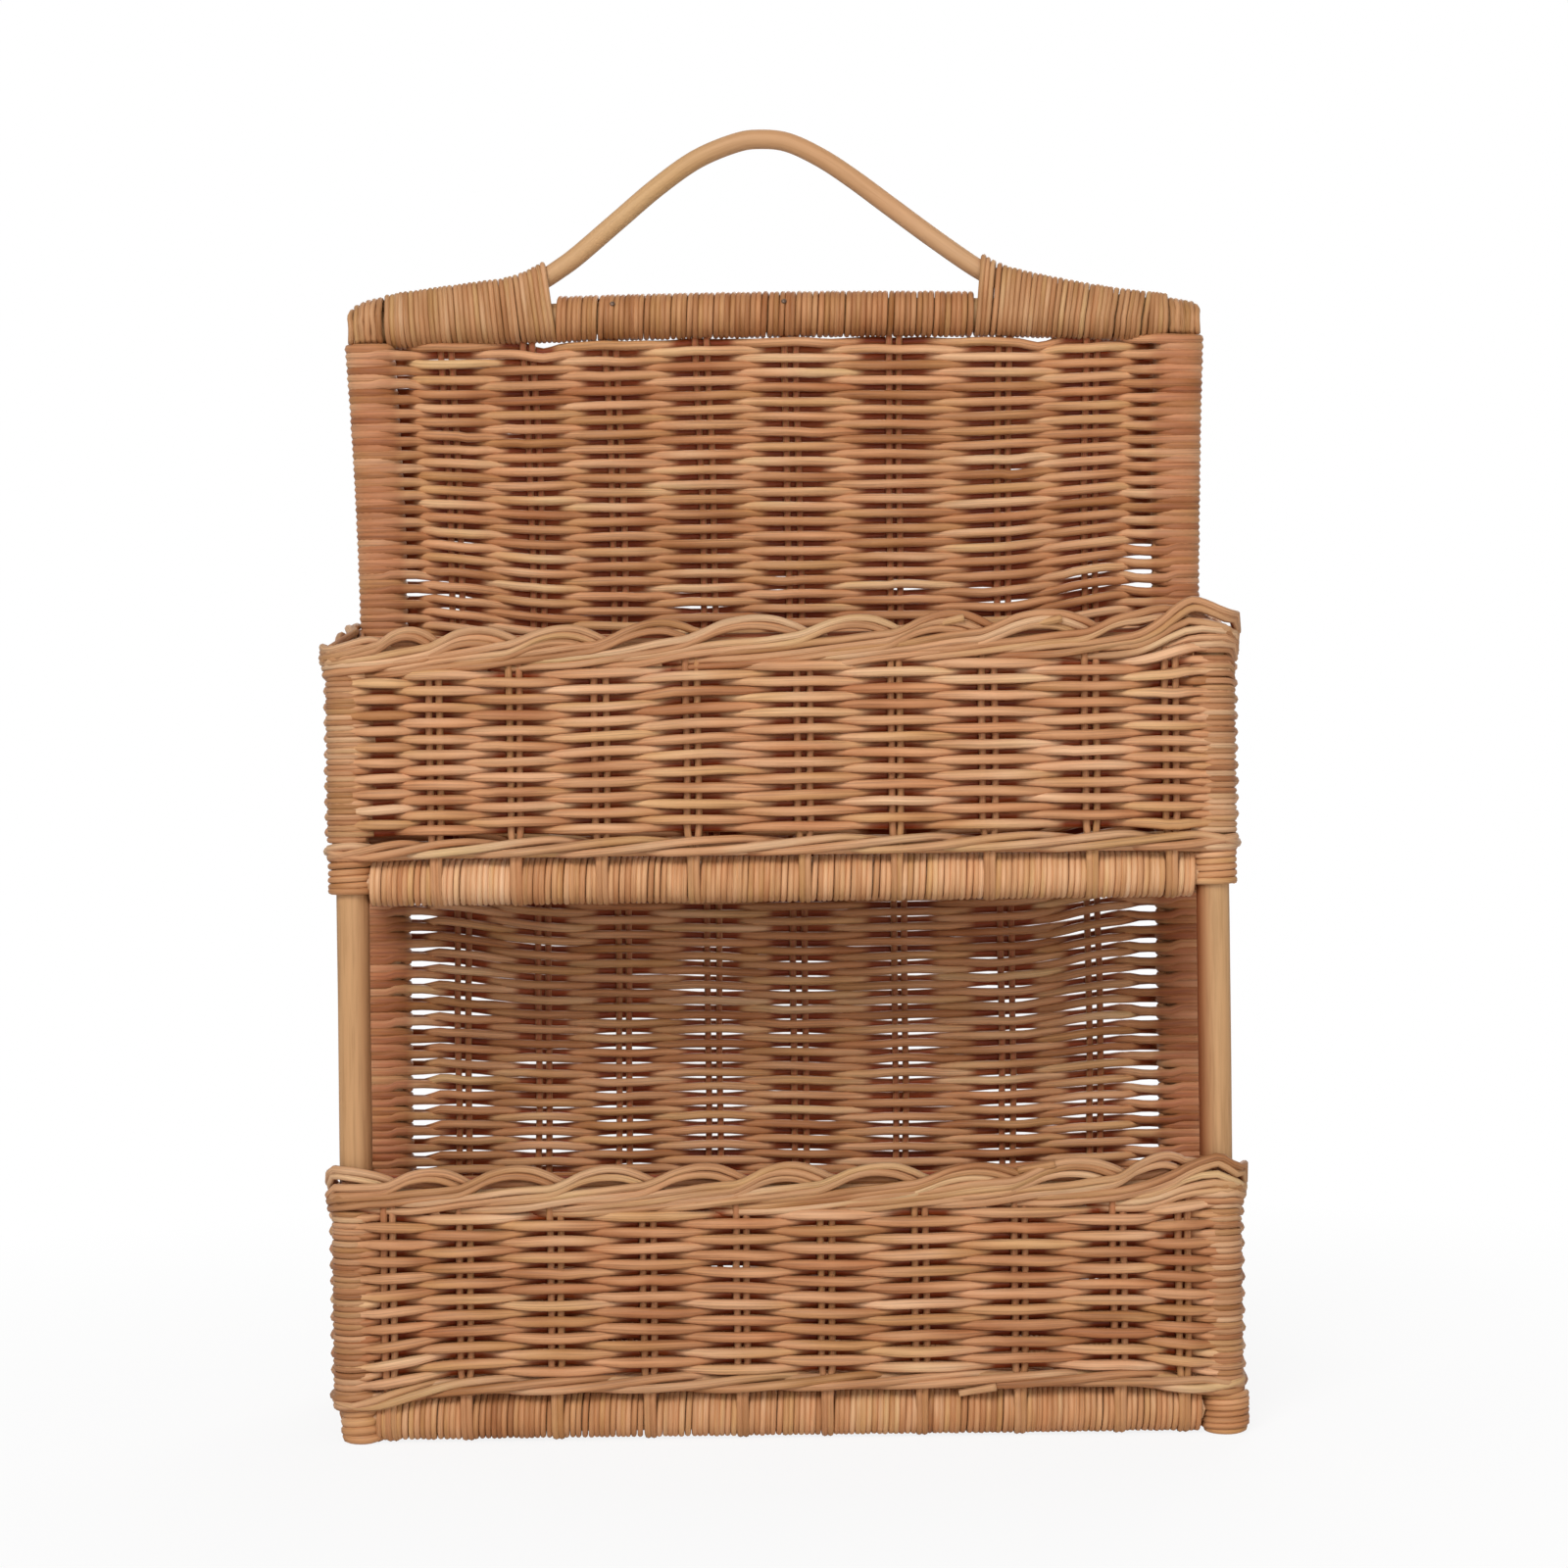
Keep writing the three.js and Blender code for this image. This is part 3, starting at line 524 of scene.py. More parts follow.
def under_binding(x):
    """How far the last rows hang away from the rail below the inner ends of the bindings"""
    left, right = math.exp(-((x + 98) / 6.5) ** 2), math.exp(-((x - 111) / 7) ** 2)
    return 2.6 * left + 3.0 * right


def post_shift(level):
    """The rows lie a little wider on the posts than in the middle, between the trays"""
    most = 8.0
    return most * grows(level, 88, 140) - most * grows(level, 300, 140)


class BackRow:
    """One row of the woven back, with all that moves it from its level"""

    def __init__(self, index):
        self.index = index
        self.level = BACK_FIRST + BACK_PITCH * index
        self.top = smooth((self.level - BACK_LAST + 9) / 9)
        self.open_band = grows(self.level, 84, 18) * fades(self.level, 228, 12)

    def bend(self, x):
        """The slow waver that neighbouring rows share. It stops at the foot and at the top."""
        level = self.level
        bend = 1.1 * wander(1, 110, x, level * 0.8) + 0.45 * wander(2, 45, x, level)
        return bend * (grows(level, 18, 25) * fades(level, BACK_LAST + 4, 22))

    def own(self, x):
        """What the row does by itself. The last ones close up to the rail."""
        own = 0.24 * wander(3 + self.index * 0.37, 26, x)
        close = self.top * (0.45 + 0.5 * wander(8, 14, x))
        return own + (close - self.top * self.top * under_binding(x))

    def slack(self, x):
        """How far the rows of a pair draw together over the stakes, so that others gape"""
        level = self.level
        ease = wander(5, 26, x, level * 1.9)
        near_tray = grows(level, 328, 6) * fades(level, 352, 8)
        near_rail = math.exp(-((x + 70) / 14) ** 2) * grows(level, 430, 5)
        tight = max(0.0, ease - 0.7 + 0.45 * near_tray + 0.5 * near_rail) * 2.2
        loose = max(0.0, 0.46 + 0.85 * ease) * lerp(fades(level, 215, 70), 1, grows(x, 35, 45))
        return lerp(tight, max(tight, loose), self.open_band)

    def gape(self, x):
        """The same beside the posts: between the trays, just above the upper tray, and high up
        on the left"""
        level, left = self.level, x < 0
        above_tray = grows(level, 330, 4) * fades(level, 346 if left else 358, 4)
        high_left = 0.5 * grows(level, 424, 3) * fades(level, 438, 3) * left
        wedge = 1 + 0.9 * wander(9, 7, (self.index + 1) // 2 * 6.3, x / HALF_SPAN)
        wedge = min(max(wedge, 0.15), 1.35)
        most = (1.05 if left else 1.15) * wedge
        return lerp(0.05, most, max(self.open_band, above_tray, high_left))

    def level_at(self, x, out):
        edge = grows(x, 144, 12) if x > 0 else grows(-x, 146, 10)
        pairing = lerp(min(self.slack(x), 0.75) * min(out, 1.0) ** 2.5, self.gape(x), edge)
        shift = post_shift(self.level) * grows(abs(x), 92, 66)
        moved = self.level + (1 - edge) * self.bend(x) + self.own(x) + shift
        return moved - parity(self.index) * pairing

    def strand(self):
        pole_level = self.level + post_shift(self.level)
        row = panel_row(self.index, BACK_PAIRS, BACK_GAPS, BACK_TURN, pole_level, self.level_at)
        points = splay([(x, BACK_Y + out, z + (z - EYE_LEVEL) * out / EYE_FAR)
                        for x, out, z in row])
        # Painted shade where the rows turn round the posts, deeper between the trays
        shade = 0.42 + 0.16 * self.open_band
        covers = painted_shade_shares(row, lambda out: shade * np.sign(out))
        stretch = 1 + 0.1 * grows(self.level, 320, 40)
        thick = []
        for x, out, z in row:
            on_post, in_front = grows(abs(x), 156, 8), smooth(-out / AMPLITUDE)
            thick.append(stretch * (1 + 0.16 * on_post) * (1 + 0.06 * in_front))
        return Strand(points, thick, [(0, cover, 0) for cover in covers]).vary()


def foot_loops():
    """Plain loops round the feet of the back posts"""
    loops = []
    for index in range(6):
        for side in (-1, 1):
            angles = np.radians(np.linspace(0, 352, 18))
            loops.append(Strand(np.stack([
                side * (HALF_SPAN - BACK_TURN * np.cos(angles)),
                BACK_Y + BACK_TURN * np.sin(angles),
                np.full(18, 2.2 + 3.1 * index)], axis=1)))
    return loops


def back_weave():
    """The woven back. Its rows lie close, but between the trays they gape beside the posts. It
    has one row more at the foot than the solid."""
    runs = [BackRow(index).strand() for index in range(-1, BACK_ROWS)]
    half = BACK_ROWS // 2
    strands("back_weave_low", runs[:half] + foot_loops(), WEAVER_RADIUS, back_finish,
            ["back_panel_weave"])
    strands("back_weave_high", runs[half:], WEAVER_RADIUS, back_finish)


def back_stakes():
    """The pairs of stakes of the back, from above its bottom rail up to the top rail"""
    foot, into_rail = 16, 6.5
    runs = []
    for pair, gap in zip(BACK_PAIRS, BACK_GAPS):
        for side in (-1, 1):
            top = TOP_RAIL_Z + rail_drop(pair) - into_rail
            points = []
            for level in np.linspace(foot, top, 70):
                x = pair + side * gap / 2 * (1 + 0.16 * wander(40 + side, 45, pair, level))
                points.append((x + 1.0 * wander(42, 130, level, pair), BACK_Y, level))
            # Painted shade on the front side of each stake, which lies behind the weavers
            runs.append(Strand(splay(points), None, [(0, -0.7, 0)] * len(points)).vary())
    names = [f"back_stake_pair_{i + 1}" for i in range(len(BACK_PAIRS))]
    strands("back_stakes", runs, STAKE_RADIUS, stake_finish, names)


# The trays

class Tray:
    """Where a tray's strands lie. Heights are above its rail's middle, and pairs of numbers are
    for the left and the right.

    wale: the height of the wale and how far each of its strands climbs
    rows: the heights of the first and last rows of the wall, and their number
    rim_foot, rim: the foot and the crest of the rim
    left_low: how much lower the crest lies towards the left
    side_rise: how far the strands rise from the front to the back
    corner_rise: how far the rim rises at the front corners
    droop, droop_reach: how far it droops just round them, and over what distance
    side_drop: how far it lies lower along the sides
    foot_rise: how much higher the foot of the wall lies at the front corners
    edge_station: a place at the left where the rows cross without stakes, if any
    cut_ends: places and heights of ends of cane that stand out
    plump: how much thicker a row is in front of the stakes"""

    def __init__(self, name, rail, pairs, gaps, seed, **form):
        self.name, self.rail, self.pairs, self.gaps, self.seed = name, rail, pairs, gaps, seed
        for key, value in form.items():
            setattr(self, key, value)
        self.rim_share = self.share(self.rim_foot)
        left = self.left_side()
        right = [(-x, y, -nx, ny) for x, y, nx, ny in reversed(left)]
        front = [(x, FRONT_Y - FRONT_LINE, 0.0, -1.0) for x in np.linspace(-160, 160, 65)]
        self.line = np.array(left + front + right)
        self.far = lengths_along(self.line[:, :2])
        self.length = self.far[-1]
        sides = [(self.near(-HALF_SPAN - SIDE_LINE, y), SIDE_GAP) for y in SIDE_PAIRS]
        stations = [(self.near(x, FRONT_Y - FRONT_LINE), gap) for x, gap in zip(pairs, gaps)]
        self.phase = 0
        if self.edge_station:
            stations.insert(0, (self.near(self.edge_station, FRONT_Y - FRONT_LINE), 4.0))
            self.phase = 1
        self.stations = sides + stations + [(self.length - s, gap) for s, gap in reversed(sides)]
        corner = self.near(-HALF_SPAN - 6, FRONT_Y - 6)
        self.corners = [corner, self.length - corner]

    def left_side(self):
        """The left side of the wall's line: round the back post, along the side and round the
        front post, as places and outward directions"""
        left = []
        back_turn = WOVEN_POST + WEAVER_RADIUS
        for _, cos, sin in arc(50, 180, 12):
            left.append((back_turn * cos - HALF_SPAN, back_turn * sin + BACK_Y, cos, sin))
        for y in np.linspace(BACK_Y - 4, FRONT_Y, 24):
            out = lerp(SIDE_LINE, back_turn, grows(y, 24, 26))
            left.append((-HALF_SPAN - out, y, -1.0, 0.0))
        for degrees, cos, sin in arc(190, 270, 9):
            reach = lerp(SIDE_LINE, FRONT_LINE, (degrees - 180) / 90)
            left.append((reach * cos - HALF_SPAN, reach * sin + FRONT_Y, cos, sin))
        return left

    def near(self, x, y):
        """How far along the wall's line its nearest place to this one lies"""
        fine = np.linspace(0, self.length, 4000)
        px = np.interp(fine, self.far, self.line[:, 0])
        py = np.interp(fine, self.far, self.line[:, 1])
        return float(fine[np.argmin((px - x) ** 2 + (py - y) ** 2)])

    def at(self, s, out):
        """A place on the wall and its outward direction"""
        x, y, nx, ny = (float(np.interp(s, self.far, self.line[:, i])) for i in range(4))
        return x + nx * out, y + ny * out, nx, ny

    def rise(self, x, y, share):
        """How far a strand rises to the back and at the front corners. Share is its height, from
        0 at the wale to 1 at the crest of the rim."""
        back = self.side_rise * min(max((y - FRONT_Y) / DEPTH, 0), 1)
        ends = [grows(side * x, 138, 26) * fades(y, -52, 8) for side in (-1, 1)]
        high = smooth((share - 0.6) / 0.4)
        corner = high * sum(rise * end for rise, end in zip(self.corner_rise, ends))
        in_rim = smooth((share - self.rim_share + 0.02) / (1 - self.rim_share))
        for side, most, drop in zip((-1, 1), self.droop, self.side_drop):
            away = math.hypot(side * x - HALF_SPAN - 6, y - FRONT_Y + 6)
            along_side = grows(side * x, 160, 10) * smooth((y + 61) / 9)
            droop = most * fades(away, self.droop_reach, self.droop_reach)
            corner -= max(droop, drop * along_side) * in_rim
        foot = sum(rise * grows(side * x, 128, 46) * fades(y, 30, 40)
                   for rise, side in zip(self.foot_rise, (-1, 1)))
        return share * back + corner + (1 - share) ** 2 * foot

    def low_left(self, x):
        """How much lower the crest of the rim lies here"""
        return self.left_low * smooth((-20 - x) / 50)

    def share(self, height):
        """A height as a share of the way from the wale to the crest of the rim"""
        return min(max((height - self.wale[0]) / (self.rim - self.wale[0]), 0), 1)

    def strand(self, places, thick=None, outer_shade=None, under=0.0):
        """A strand through places, outward offsets and heights, with painted shade on its inner
        sides where it lies behind the pairs, or else one given share of painted shade on its outer
        side.
        Under is how much painted shade it gets on its underside."""
        points, painted_shade = [], []
        for s, out, height in places:
            x, y, nx, ny = self.at(s, out)
            points.append((x, y, self.rail + height + self.rise(x, y, self.share(height))))
            cover = painted_shade_side(out) if outer_shade is None else outer_shade
            painted_shade.append((nx * cover, ny * cover, -under))
        return Strand(points, thick, painted_shade)

    def level_strand(self, out, height, start=0.0, end=None):
        """A strand along the wall at one offset and height"""
        stretch = np.arange(start, self.length if end is None else end, 4)
        return self.strand([(float(s), out, height) for s in stretch])


def wall_nodes(tray, index):
    """Where a row of the wall lies on the pairs and at the corners: places along the wall and
    offsets. It lies closer to the posts at the back ends and round the front posts."""
    end_flat, corner_half, corner_out, beside = 24.0, 12, 0.45, 17
    stops = sorted([(s, k) for k, (s, gap) in enumerate(tray.stations)]
                   + [(s, None) for s in tray.corners])
    outs = [None if k is None else parity(index + k + tray.phase) * AMPLITUDE for s, k in stops]
    nodes = [(0.0, 0.0), (end_flat, 0.1)]
    for i, (s, k) in enumerate(stops):
        if k is not None:
            half = flat_half(tray.stations[k][1])
            nodes += [(s - half, outs[i]), (s + half, outs[i])]
            continue
        room_before = s - corner_half - (stops[i - 1][0] + 3)
        room_after = stops[i + 1][0] - 3 - (s + corner_half)
        if room_before > 9:
            nodes.append((s - beside, outs[i - 1] * 0.8))
        nodes.append((s - min(corner_half, 11 + room_before / 2), corner_out))
        nodes.append((s + min(corner_half, 6 + max(room_after, -4)), corner_out))
        if room_after > 9:
            nodes.append((s + beside, outs[i + 1] * 0.8))
    return nodes + [(tray.length - end_flat, 0.1), (tray.length, 0.0)]


def wall_row(tray, index):
    low, high, count = tray.rows
    height = lerp(low, high, index / (count - 1))
    nodes = wall_nodes(tray, index)
    places = [nodes[0]]
    for a, b in zip(nodes, nodes[1:]):
        places += crossing(a, b, max(2, math.ceil((b[0] - a[0]) / 4)))
        places.append(b)
    path, thick = [], []
    for s, out in places:
        on_pair = min(abs(out) / AMPLITUDE, 1.0)
        bend = 0.85 * wander(tray.seed, 90, s, height)
        bend += 0.4 * wander(tray.seed + 1, 36, s, height * 1.5)
        bend *= smooth((height - low + 1) / 16) * fades(height, high + 1, 16)
        own = 0.33 * wander(tray.seed + 2 + index * 0.41, 24, s)
        own -= 0.6 * tray.low_left(tray.at(s, 0)[0]) * (height - low) / (high - low)
        slack = max(0.0, wander(tray.seed + 3, 22, s, height * 1.9) - 0.85) * 1.6
        turn = max(smooth(1.4 - abs(s - corner) / 14) for corner in tray.corners)
        thick.append((1 - 0.13 * turn) * (1 + tray.plump * smooth(out / AMPLITUDE)))
        level = height + bend + own - parity(index) * min(slack, 0.5) * on_pair
        # Halfway between two pairs a row still lies a little in front
        early = 0.22 * AMPLITUDE * (1 - on_pair ** 2) * (1 - turn)
        path.append((s, out + early - 0.5 * turn, level))
    # Painted shade on the undersides of the rows
    return tray.strand(path, thick, under=0.3).vary(0.05)


def wall_rows(tray):
    runs = [wall_row(tray, index) for index in range(tray.rows[2])]
    strands(f"{tray.name}_wall", runs, WEAVER_RADIUS, weave_finish,
            [f"{tray.name}_wall_weave"])


def corner_turns(tray):
    """The finer turns round the front posts, which fill the corners of a wall"""
    low, high, pitch = tray.rows[0] - 2.5, tray.rows[1] + 1.5, 2.1
    count = round((high - low) / pitch)
    runs = []
    for corner in tray.corners:
        for i in range(count):
            height = lerp(low, high, i / (count - 1)) + dice.uniform(-0.15, 0.15)
            reach = dice.uniform(11.5, 17.5)
            places = []
            for step in np.linspace(-1, 1, 17):
                out = lerp(0.75, -1.9, smooth((abs(step) - 0.55) / 0.45))
                places.append((corner + step * reach, out, height))
            # Painted shade on the outer side of the turns, which darkens the corners
            runs.append(tray.strand(places, None, 0.2).vary())
    strands(f"{tray.name}_corner_turns", runs, WRAP_RADIUS * 0.95, rim_finish)


# A wale strand over three pairs: behind the first and in front of the next two, rising
WALE_STEPS = [0.0, 0.28, 0.6, 1.0, 1.5, 2.0, 2.4, 2.72, 3.0]
WALE_OUTS = [-1.0, -0.9, 0.5, 1.2, 1.25, 1.05, 0.4, -0.9, -1.0]
WALE_RISE = [0.5, 0.22, 0.02, 0.1, 0.4, 0.8, 1.0, 0.8, 0.5]


def wale(tray, strand, base, slant, seed):
    """One of the three strands at the foot of a wall. It climbs by the slant and comes down."""
    marks = sorted([s for s, gap in tray.stations] + tray.corners)
    beats = [0.0] + marks + [tray.length]
    s = np.arange(0, tray.length, 2.2)
    beat = np.interp(s, beats, np.arange(len(beats)) * 1.0) + strand
    step = np.mod(beat, 3.0)
    out = np.interp(step, WALE_STEPS, WALE_OUTS) * AMPLITUDE
    climb = np.interp(step, WALE_STEPS, WALE_RISE)
    for corner in tray.corners:
        near = np.clip(1 - (np.abs(s - corner) - 9) / 7, 0, 1)
        out = out * (1 - near) + near * (0.5 + 0.5 * climb)
    out, climb = soften(out, 2), soften(climb, 3)
    path = []
    for place, offset, share in zip(s, out, climb):
        height = base + slant * share + 0.4 * wander(seed + strand, 50, place)
        path.append((float(place), float(offset), height))
    # Painted shade on the undersides of the wale strands
    return tray.strand(path, under=0.5).vary()


def wales(tray):
    """The three strands, and two straight ones behind them"""
    runs = [wale(tray, strand, *tray.wale, tray.seed + 9) for strand in range(3)]
    for out, height in ((0.2, 0.4), (-0.6, 3.2)):
        runs.append(tray.level_strand(out, tray.wale[0] + height).vary())
    strands(f"{tray.name}_wales", runs, WEAVER_RADIUS, rim_finish)


# The path of a rim strand: bays along, out, and its share of the way from the rim's foot to its
# crest. It comes from behind, climbs slowly past two pairs and turns over to the back in a flat
# arc after the third.
RIM_PATH = [
    (-2.3, -2.8, 0.0), (-2.0, -0.6, 0.0), (-1.75, 1.7, 0.02), (-1.4, 2.3, 0.08), (-1.0, 2.4, 0.2),
    (-0.6, 2.5, 0.33), (-0.25, 2.7, 0.43), (-0.05, 3.0, 0.5), (0.12, 3.2, 0.68),
    (0.28, 3.0, 0.87), (0.5, 2.7, 1.0), (0.72, 2.3, 0.98), (0.9, 1.3, 0.82), (1.03, 0.0, 0.64),
    (1.2, -2.0, 0.5), (1.4, -2.8, 0.42),
]

# The straight strands inside a rim: their offsets and their shares of its height
RIM_CORE = [(-1.3, 0.0), (-1.3, 0.22), (-1.3, 0.44), (-1.6, 0.66), (-2.4, 0.8)]


def rim_strand(tray, path, start, marks, layer, lift, apart):
    """A strand of the rim from one mark on, or nothing where it would lie past the wall"""
    drift = dice.uniform(-0.25, 0.25)
    own = dice.uniform(0, 900)
    places = []
    for u, out, share in path:
        s = float(np.interp(start + u, np.arange(len(marks)), marks)) + 1.5 * layer
        if not 0 <= s <= tray.length:
            continue
        low = tray.low_left(tray.at(s, 0)[0])
        up = lerp(tray.rim_foot - 0.6 * low, tray.rim - low + lift, share)
        up += layer * apart + 0.45 * wander(own, 20, s)
        places.append((s, out + drift + 0.3 * layer, up))
    # Painted shade on the undersides of the rim strands
    return [tray.strand(places, under=0.5).vary(0.05)] if len(places) > 6 else []


def rim(tray):
    """The plaited rim: after each pair two or three strands turn over the next bay, side by
    side"""
    stations = [s for s, gap in tray.stations]
    before, after = [-55, -35, -14, 8], [tray.length - 8 + step for step in (0, 22, 43, 63)]
    marks = before + stations + after
    path = smooth_line(RIM_PATH, 4)
    runs = []
    for k in range(3, len(marks) - 3):
        lift = dice.uniform(-0.9, 0.9)
        apart = dice.uniform(2.5, 2.9)
        for layer in dice.choice([(0.5, -0.5), (0.6, -0.35, -1.3)]):
            runs += rim_strand(tray, path, k, marks, layer, lift, apart)
    for out, share in RIM_CORE:
        level = lerp(tray.rim_foot, tray.rim - tray.left_low, share)
        runs.append(tray.level_strand(out, level).vary())
    level = lerp(tray.rim_foot, tray.rim, 0.86)
    for start, end in ((24.0, tray.corners[0] - 8), (tray.corners[1] + 8, tray.length - 24)):
        runs.append(tray.level_strand(0.5, level, start, end))
    for x, height in tray.cut_ends:
        s = tray.near(x, FRONT_Y - FRONT_LINE)
        runs.append(tray.strand([
            (s + step, lerp(1.0, 4.3, smooth((step + 12) / 13)), height + 0.2 * step)
            for step in np.linspace(-13, 1.5, 9)]))
    strands(f"{tray.name}_rim", runs, WEAVER_RADIUS * 0.92, rim_finish,
            [f"{tray.name}_rim_border"])


# How far the stakes of a tray reach into its rim
STAKE_TOP = 2


def front_stake(tray, pair, gap, side, back_to):
    """One stake of a pair in front: down through the wall, in front of the rail, under it and
    back along the floor. The two close up where they go round the rail."""
    closed, close_at, drawn = 2.2, 9, 26
    lean = 0.7 * wander(61, 40, pair)
    points = []
    for height in np.linspace(tray.rim_foot + STAKE_TOP, close_at, drawn):
        open_gap = gap * (1 + 0.14 * wander(62 + side, 24, pair, height))
        spread = lerp(closed, open_gap, grows(height, close_at, 14))
        points.append((pair + side * spread / 2 + lean * (height - close_at) / 90,
                       FRONT_Y - FRONT_LINE, tray.rail + height))
    x = pair + side * closed / 2
    for _, cos, sin in arc(0, 180, 14):
        points.append((x, FRONT_Y - FRONT_LINE * cos, tray.rail - FRONT_LINE * sin))
    for y in np.linspace(FRONT_Y + FRONT_LINE + 4, back_to, 12):
        points.append((x, y, tray.rail))
    # Painted shade on the front side of a stake, deeper in the wall than round the rail and floor
    painted_shade = [(0, -0.2 - 0.2 * smooth((drawn - 1 - i) / 5), 0) for i in range(len(points))]
    return Strand(points, None, painted_shade).vary()


def side_stake(tray, mirror, y, side):
    """One stake of a pair in a side wall, which goes round under the side rail"""
    x = mirror * (HALF_SPAN + SIDE_LINE)
    height = tray.rim_foot + STAKE_TOP + tray.side_rise * (y - FRONT_Y) / DEPTH
    place = y + side * SIDE_GAP / 2
    points = [(x, place, tray.rail + level) for level in np.linspace(height, 8, 14)]
    for _, cos, sin in arc(0, 90, 7):
        points.append((mirror * (HALF_SPAN + SIDE_LINE * cos), place, tray.rail - SIDE_LINE * sin))
    return Strand(points).vary()


def tray_stakes(tray, back_to):
    runs = [front_stake(tray, pair, gap, side, back_to)
            for pair, gap in zip(tray.pairs, tray.gaps) for side in (-1, 1)]
    names = [f"{tray.name}_stake_pair_{i + 1}" for i in range(len(tray.pairs))]
    strands(f"{tray.name}_stakes", runs, STAKE_RADIUS, stake_finish, names)
    runs = [side_stake(tray, mirror, y, side)
            for mirror in (-1, 1) for y in SIDE_PAIRS for side in (-1, 1)]
    strands(f"{tray.name}_side_stakes", runs, STAKE_RADIUS, stake_finish)


def floor_weave(tray, back_to):
    """The floor: rows across the tray, over and under the stakes and round the side rails"""
    floor_gap, row_pitch, front_gap = 2.8, 3.12, 10.4
    turn = SIDE_RAIL_RADIUS + 0.2 + WEAVER_RADIUS
    first = FRONT_Y + front_gap + WEAVER_RADIUS
    count = int((back_to - WEAVER_RADIUS - first) / row_pitch) + 1
    pitch = (back_to - WEAVER_RADIUS - first) / (count - 1)
    runs = []
    for index in range(count):
        place = first + pitch * index

        def place_at(x, out):
            return place + 0.25 * wander(70 + index * 0.3, 30, x)

        gaps = [floor_gap] * len(tray.pairs)
        row = panel_row(index, tray.pairs, gaps, turn, place, place_at)
        points = [(x, y, tray.rail - out) for x, out, y in row]
        # Painted shade on the sides of the floor rows that lie behind the stakes
        painted_shade = [(0, 0, -cover) for cover in painted_shade_shares(row, lambda out: 0)]
        runs.append(Strand(points, None, painted_shade))
    strands(f"{tray.name}_floor", runs, WEAVER_RADIUS, weave_finish,
            [f"{tray.name}_floor_weave"], rings=1)


# Windings

def wound(start, end, pitch, place, seed, per_loop=14, begin=0.55, sway=0.42, uneven=0.1):
    """A strand wound round and round from start to end, first at this share of a half turn.
    Place gives a point from how far along it is, its angle and how much it stands out. Some
    turns are wider than the others."""
    turns = max(1, round((end - start) / pitch))
    widths = [1 + uneven * dice.uniform(-1, 1) + (2.2 * uneven if dice.random() < 0.08 else 0)
              for _ in range(turns)]
    marks = np.concatenate([[0], np.cumsum(widths)]) / sum(widths)
    points = []
    for i in range(turns * per_loop + 1):
        turn = i / per_loop
        along = lerp(start, end, float(np.interp(turn, np.arange(turns + 1), marks)))
        along += sway * wander(seed, 5, turn * 2.3)
        angle = math.pi * begin + 2 * math.pi * turn
        points.append(place(along, angle, 0.16 * wander(seed + 1, 5, turn * 3.1)))
    return Strand(points, np.full(len(points), 0.92)).vary(0.06)


def rail_windings(rail, rail_y, rail_z, pairs, seed, finish):
    """The winding of a rail, broken where pairs of stakes pass round it"""
    pitch, pair_half, least = 2.2, 2.15, 1.0
    edge = HALF_SPAN - 7.6
    cuts = [-edge] + [c for pair in pairs for c in (pair - pair_half, pair + pair_half)] + [edge]
    runs = []

    def place(x, angle, grow):
        radius = RAIL_RADIUS + 0.15 + WRAP_RADIUS + grow
        return x, rail_y + radius * math.sin(angle), rail_z + radius * math.cos(angle)

    for i in range(0, len(cuts), 2):
        start, end = cuts[i] + 0.2, cuts[i + 1] - 0.1
        if end - start > least:
            runs.append(wound(start, end, pitch, place, seed + i))
    strands(f"{rail}_winding", runs, WRAP_RADIUS, finish, [f"{rail}_rail_wrap"])


# The line of the bow: places along, and heights above the top rail's middle
BOW_LINE = [
    (-168, 3.4), (-152, 5.6), (-135, 7.8), (-119, 9.8), (-109, 12.0), (-101, 15.6), (-93, 20.6),
    (-84.7, 26.6), (-67.6, 41.0), (-50.6, 55.2), (-33.6, 67.0), (-16.7, 73.9), (-6, 75.4),
    (6, 73.9), (20, 67.2), (33.7, 58.0), (50.3, 45.4), (67.1, 32.7), (83.7, 20.8), (92.5, 15.6),
    (101, 12.2), (117, 8.4), (134, 5.0), (151, 2.2), (168, 0.2),
]
bow_line = np.array(smooth_line(BOW_LINE, 6))


def bow():
    points = [(x, BACK_Y, TOP_RAIL_Z + z) for x, z in bow_line]
    thick = [1 + 0.02 * wander(80, 60, s) for s in lengths_along(bow_line)]
    strands("bow", [Strand(points, thick)], BOW_RADIUS, bow_finish,
            ["handle_bow"], rings=8)


def top_rail():
    """The bent pole with rounded ends, and its winding between the bindings"""
    count, shorter = 41, 1.5
    xs = np.linspace(-TOP_RAIL_HALF, TOP_RAIL_HALF - shorter, count)
    points = [(x, BACK_Y, TOP_RAIL_Z + rail_drop(x)) for x in xs]
    thick = [0.6, 0.97] + [1.0] * (count - 4) + [0.97, 0.6]
    strands("top_rail_pole", [Strand(points, thick)], RAIL_RADIUS, pole_finish,
            ["top_rail"], rings=6)

    def place(x, angle, grow):
        radius = RAIL_RADIUS + 0.45 + WRAP_RADIUS + grow
        height = TOP_RAIL_Z + rail_drop(x) + radius * math.cos(angle)
        return x, BACK_Y + radius * math.sin(angle), height

    start, end = LEFT_BINDING - BINDING_END + 0.4, BINDING_END - RIGHT_BINDING - 0.2
    run = wound(start, end, 2.3, place, 90)
    strands("top_rail_winding", [run], WRAP_RADIUS, old_wrap_finish,
            ["top_rail_wrap"])


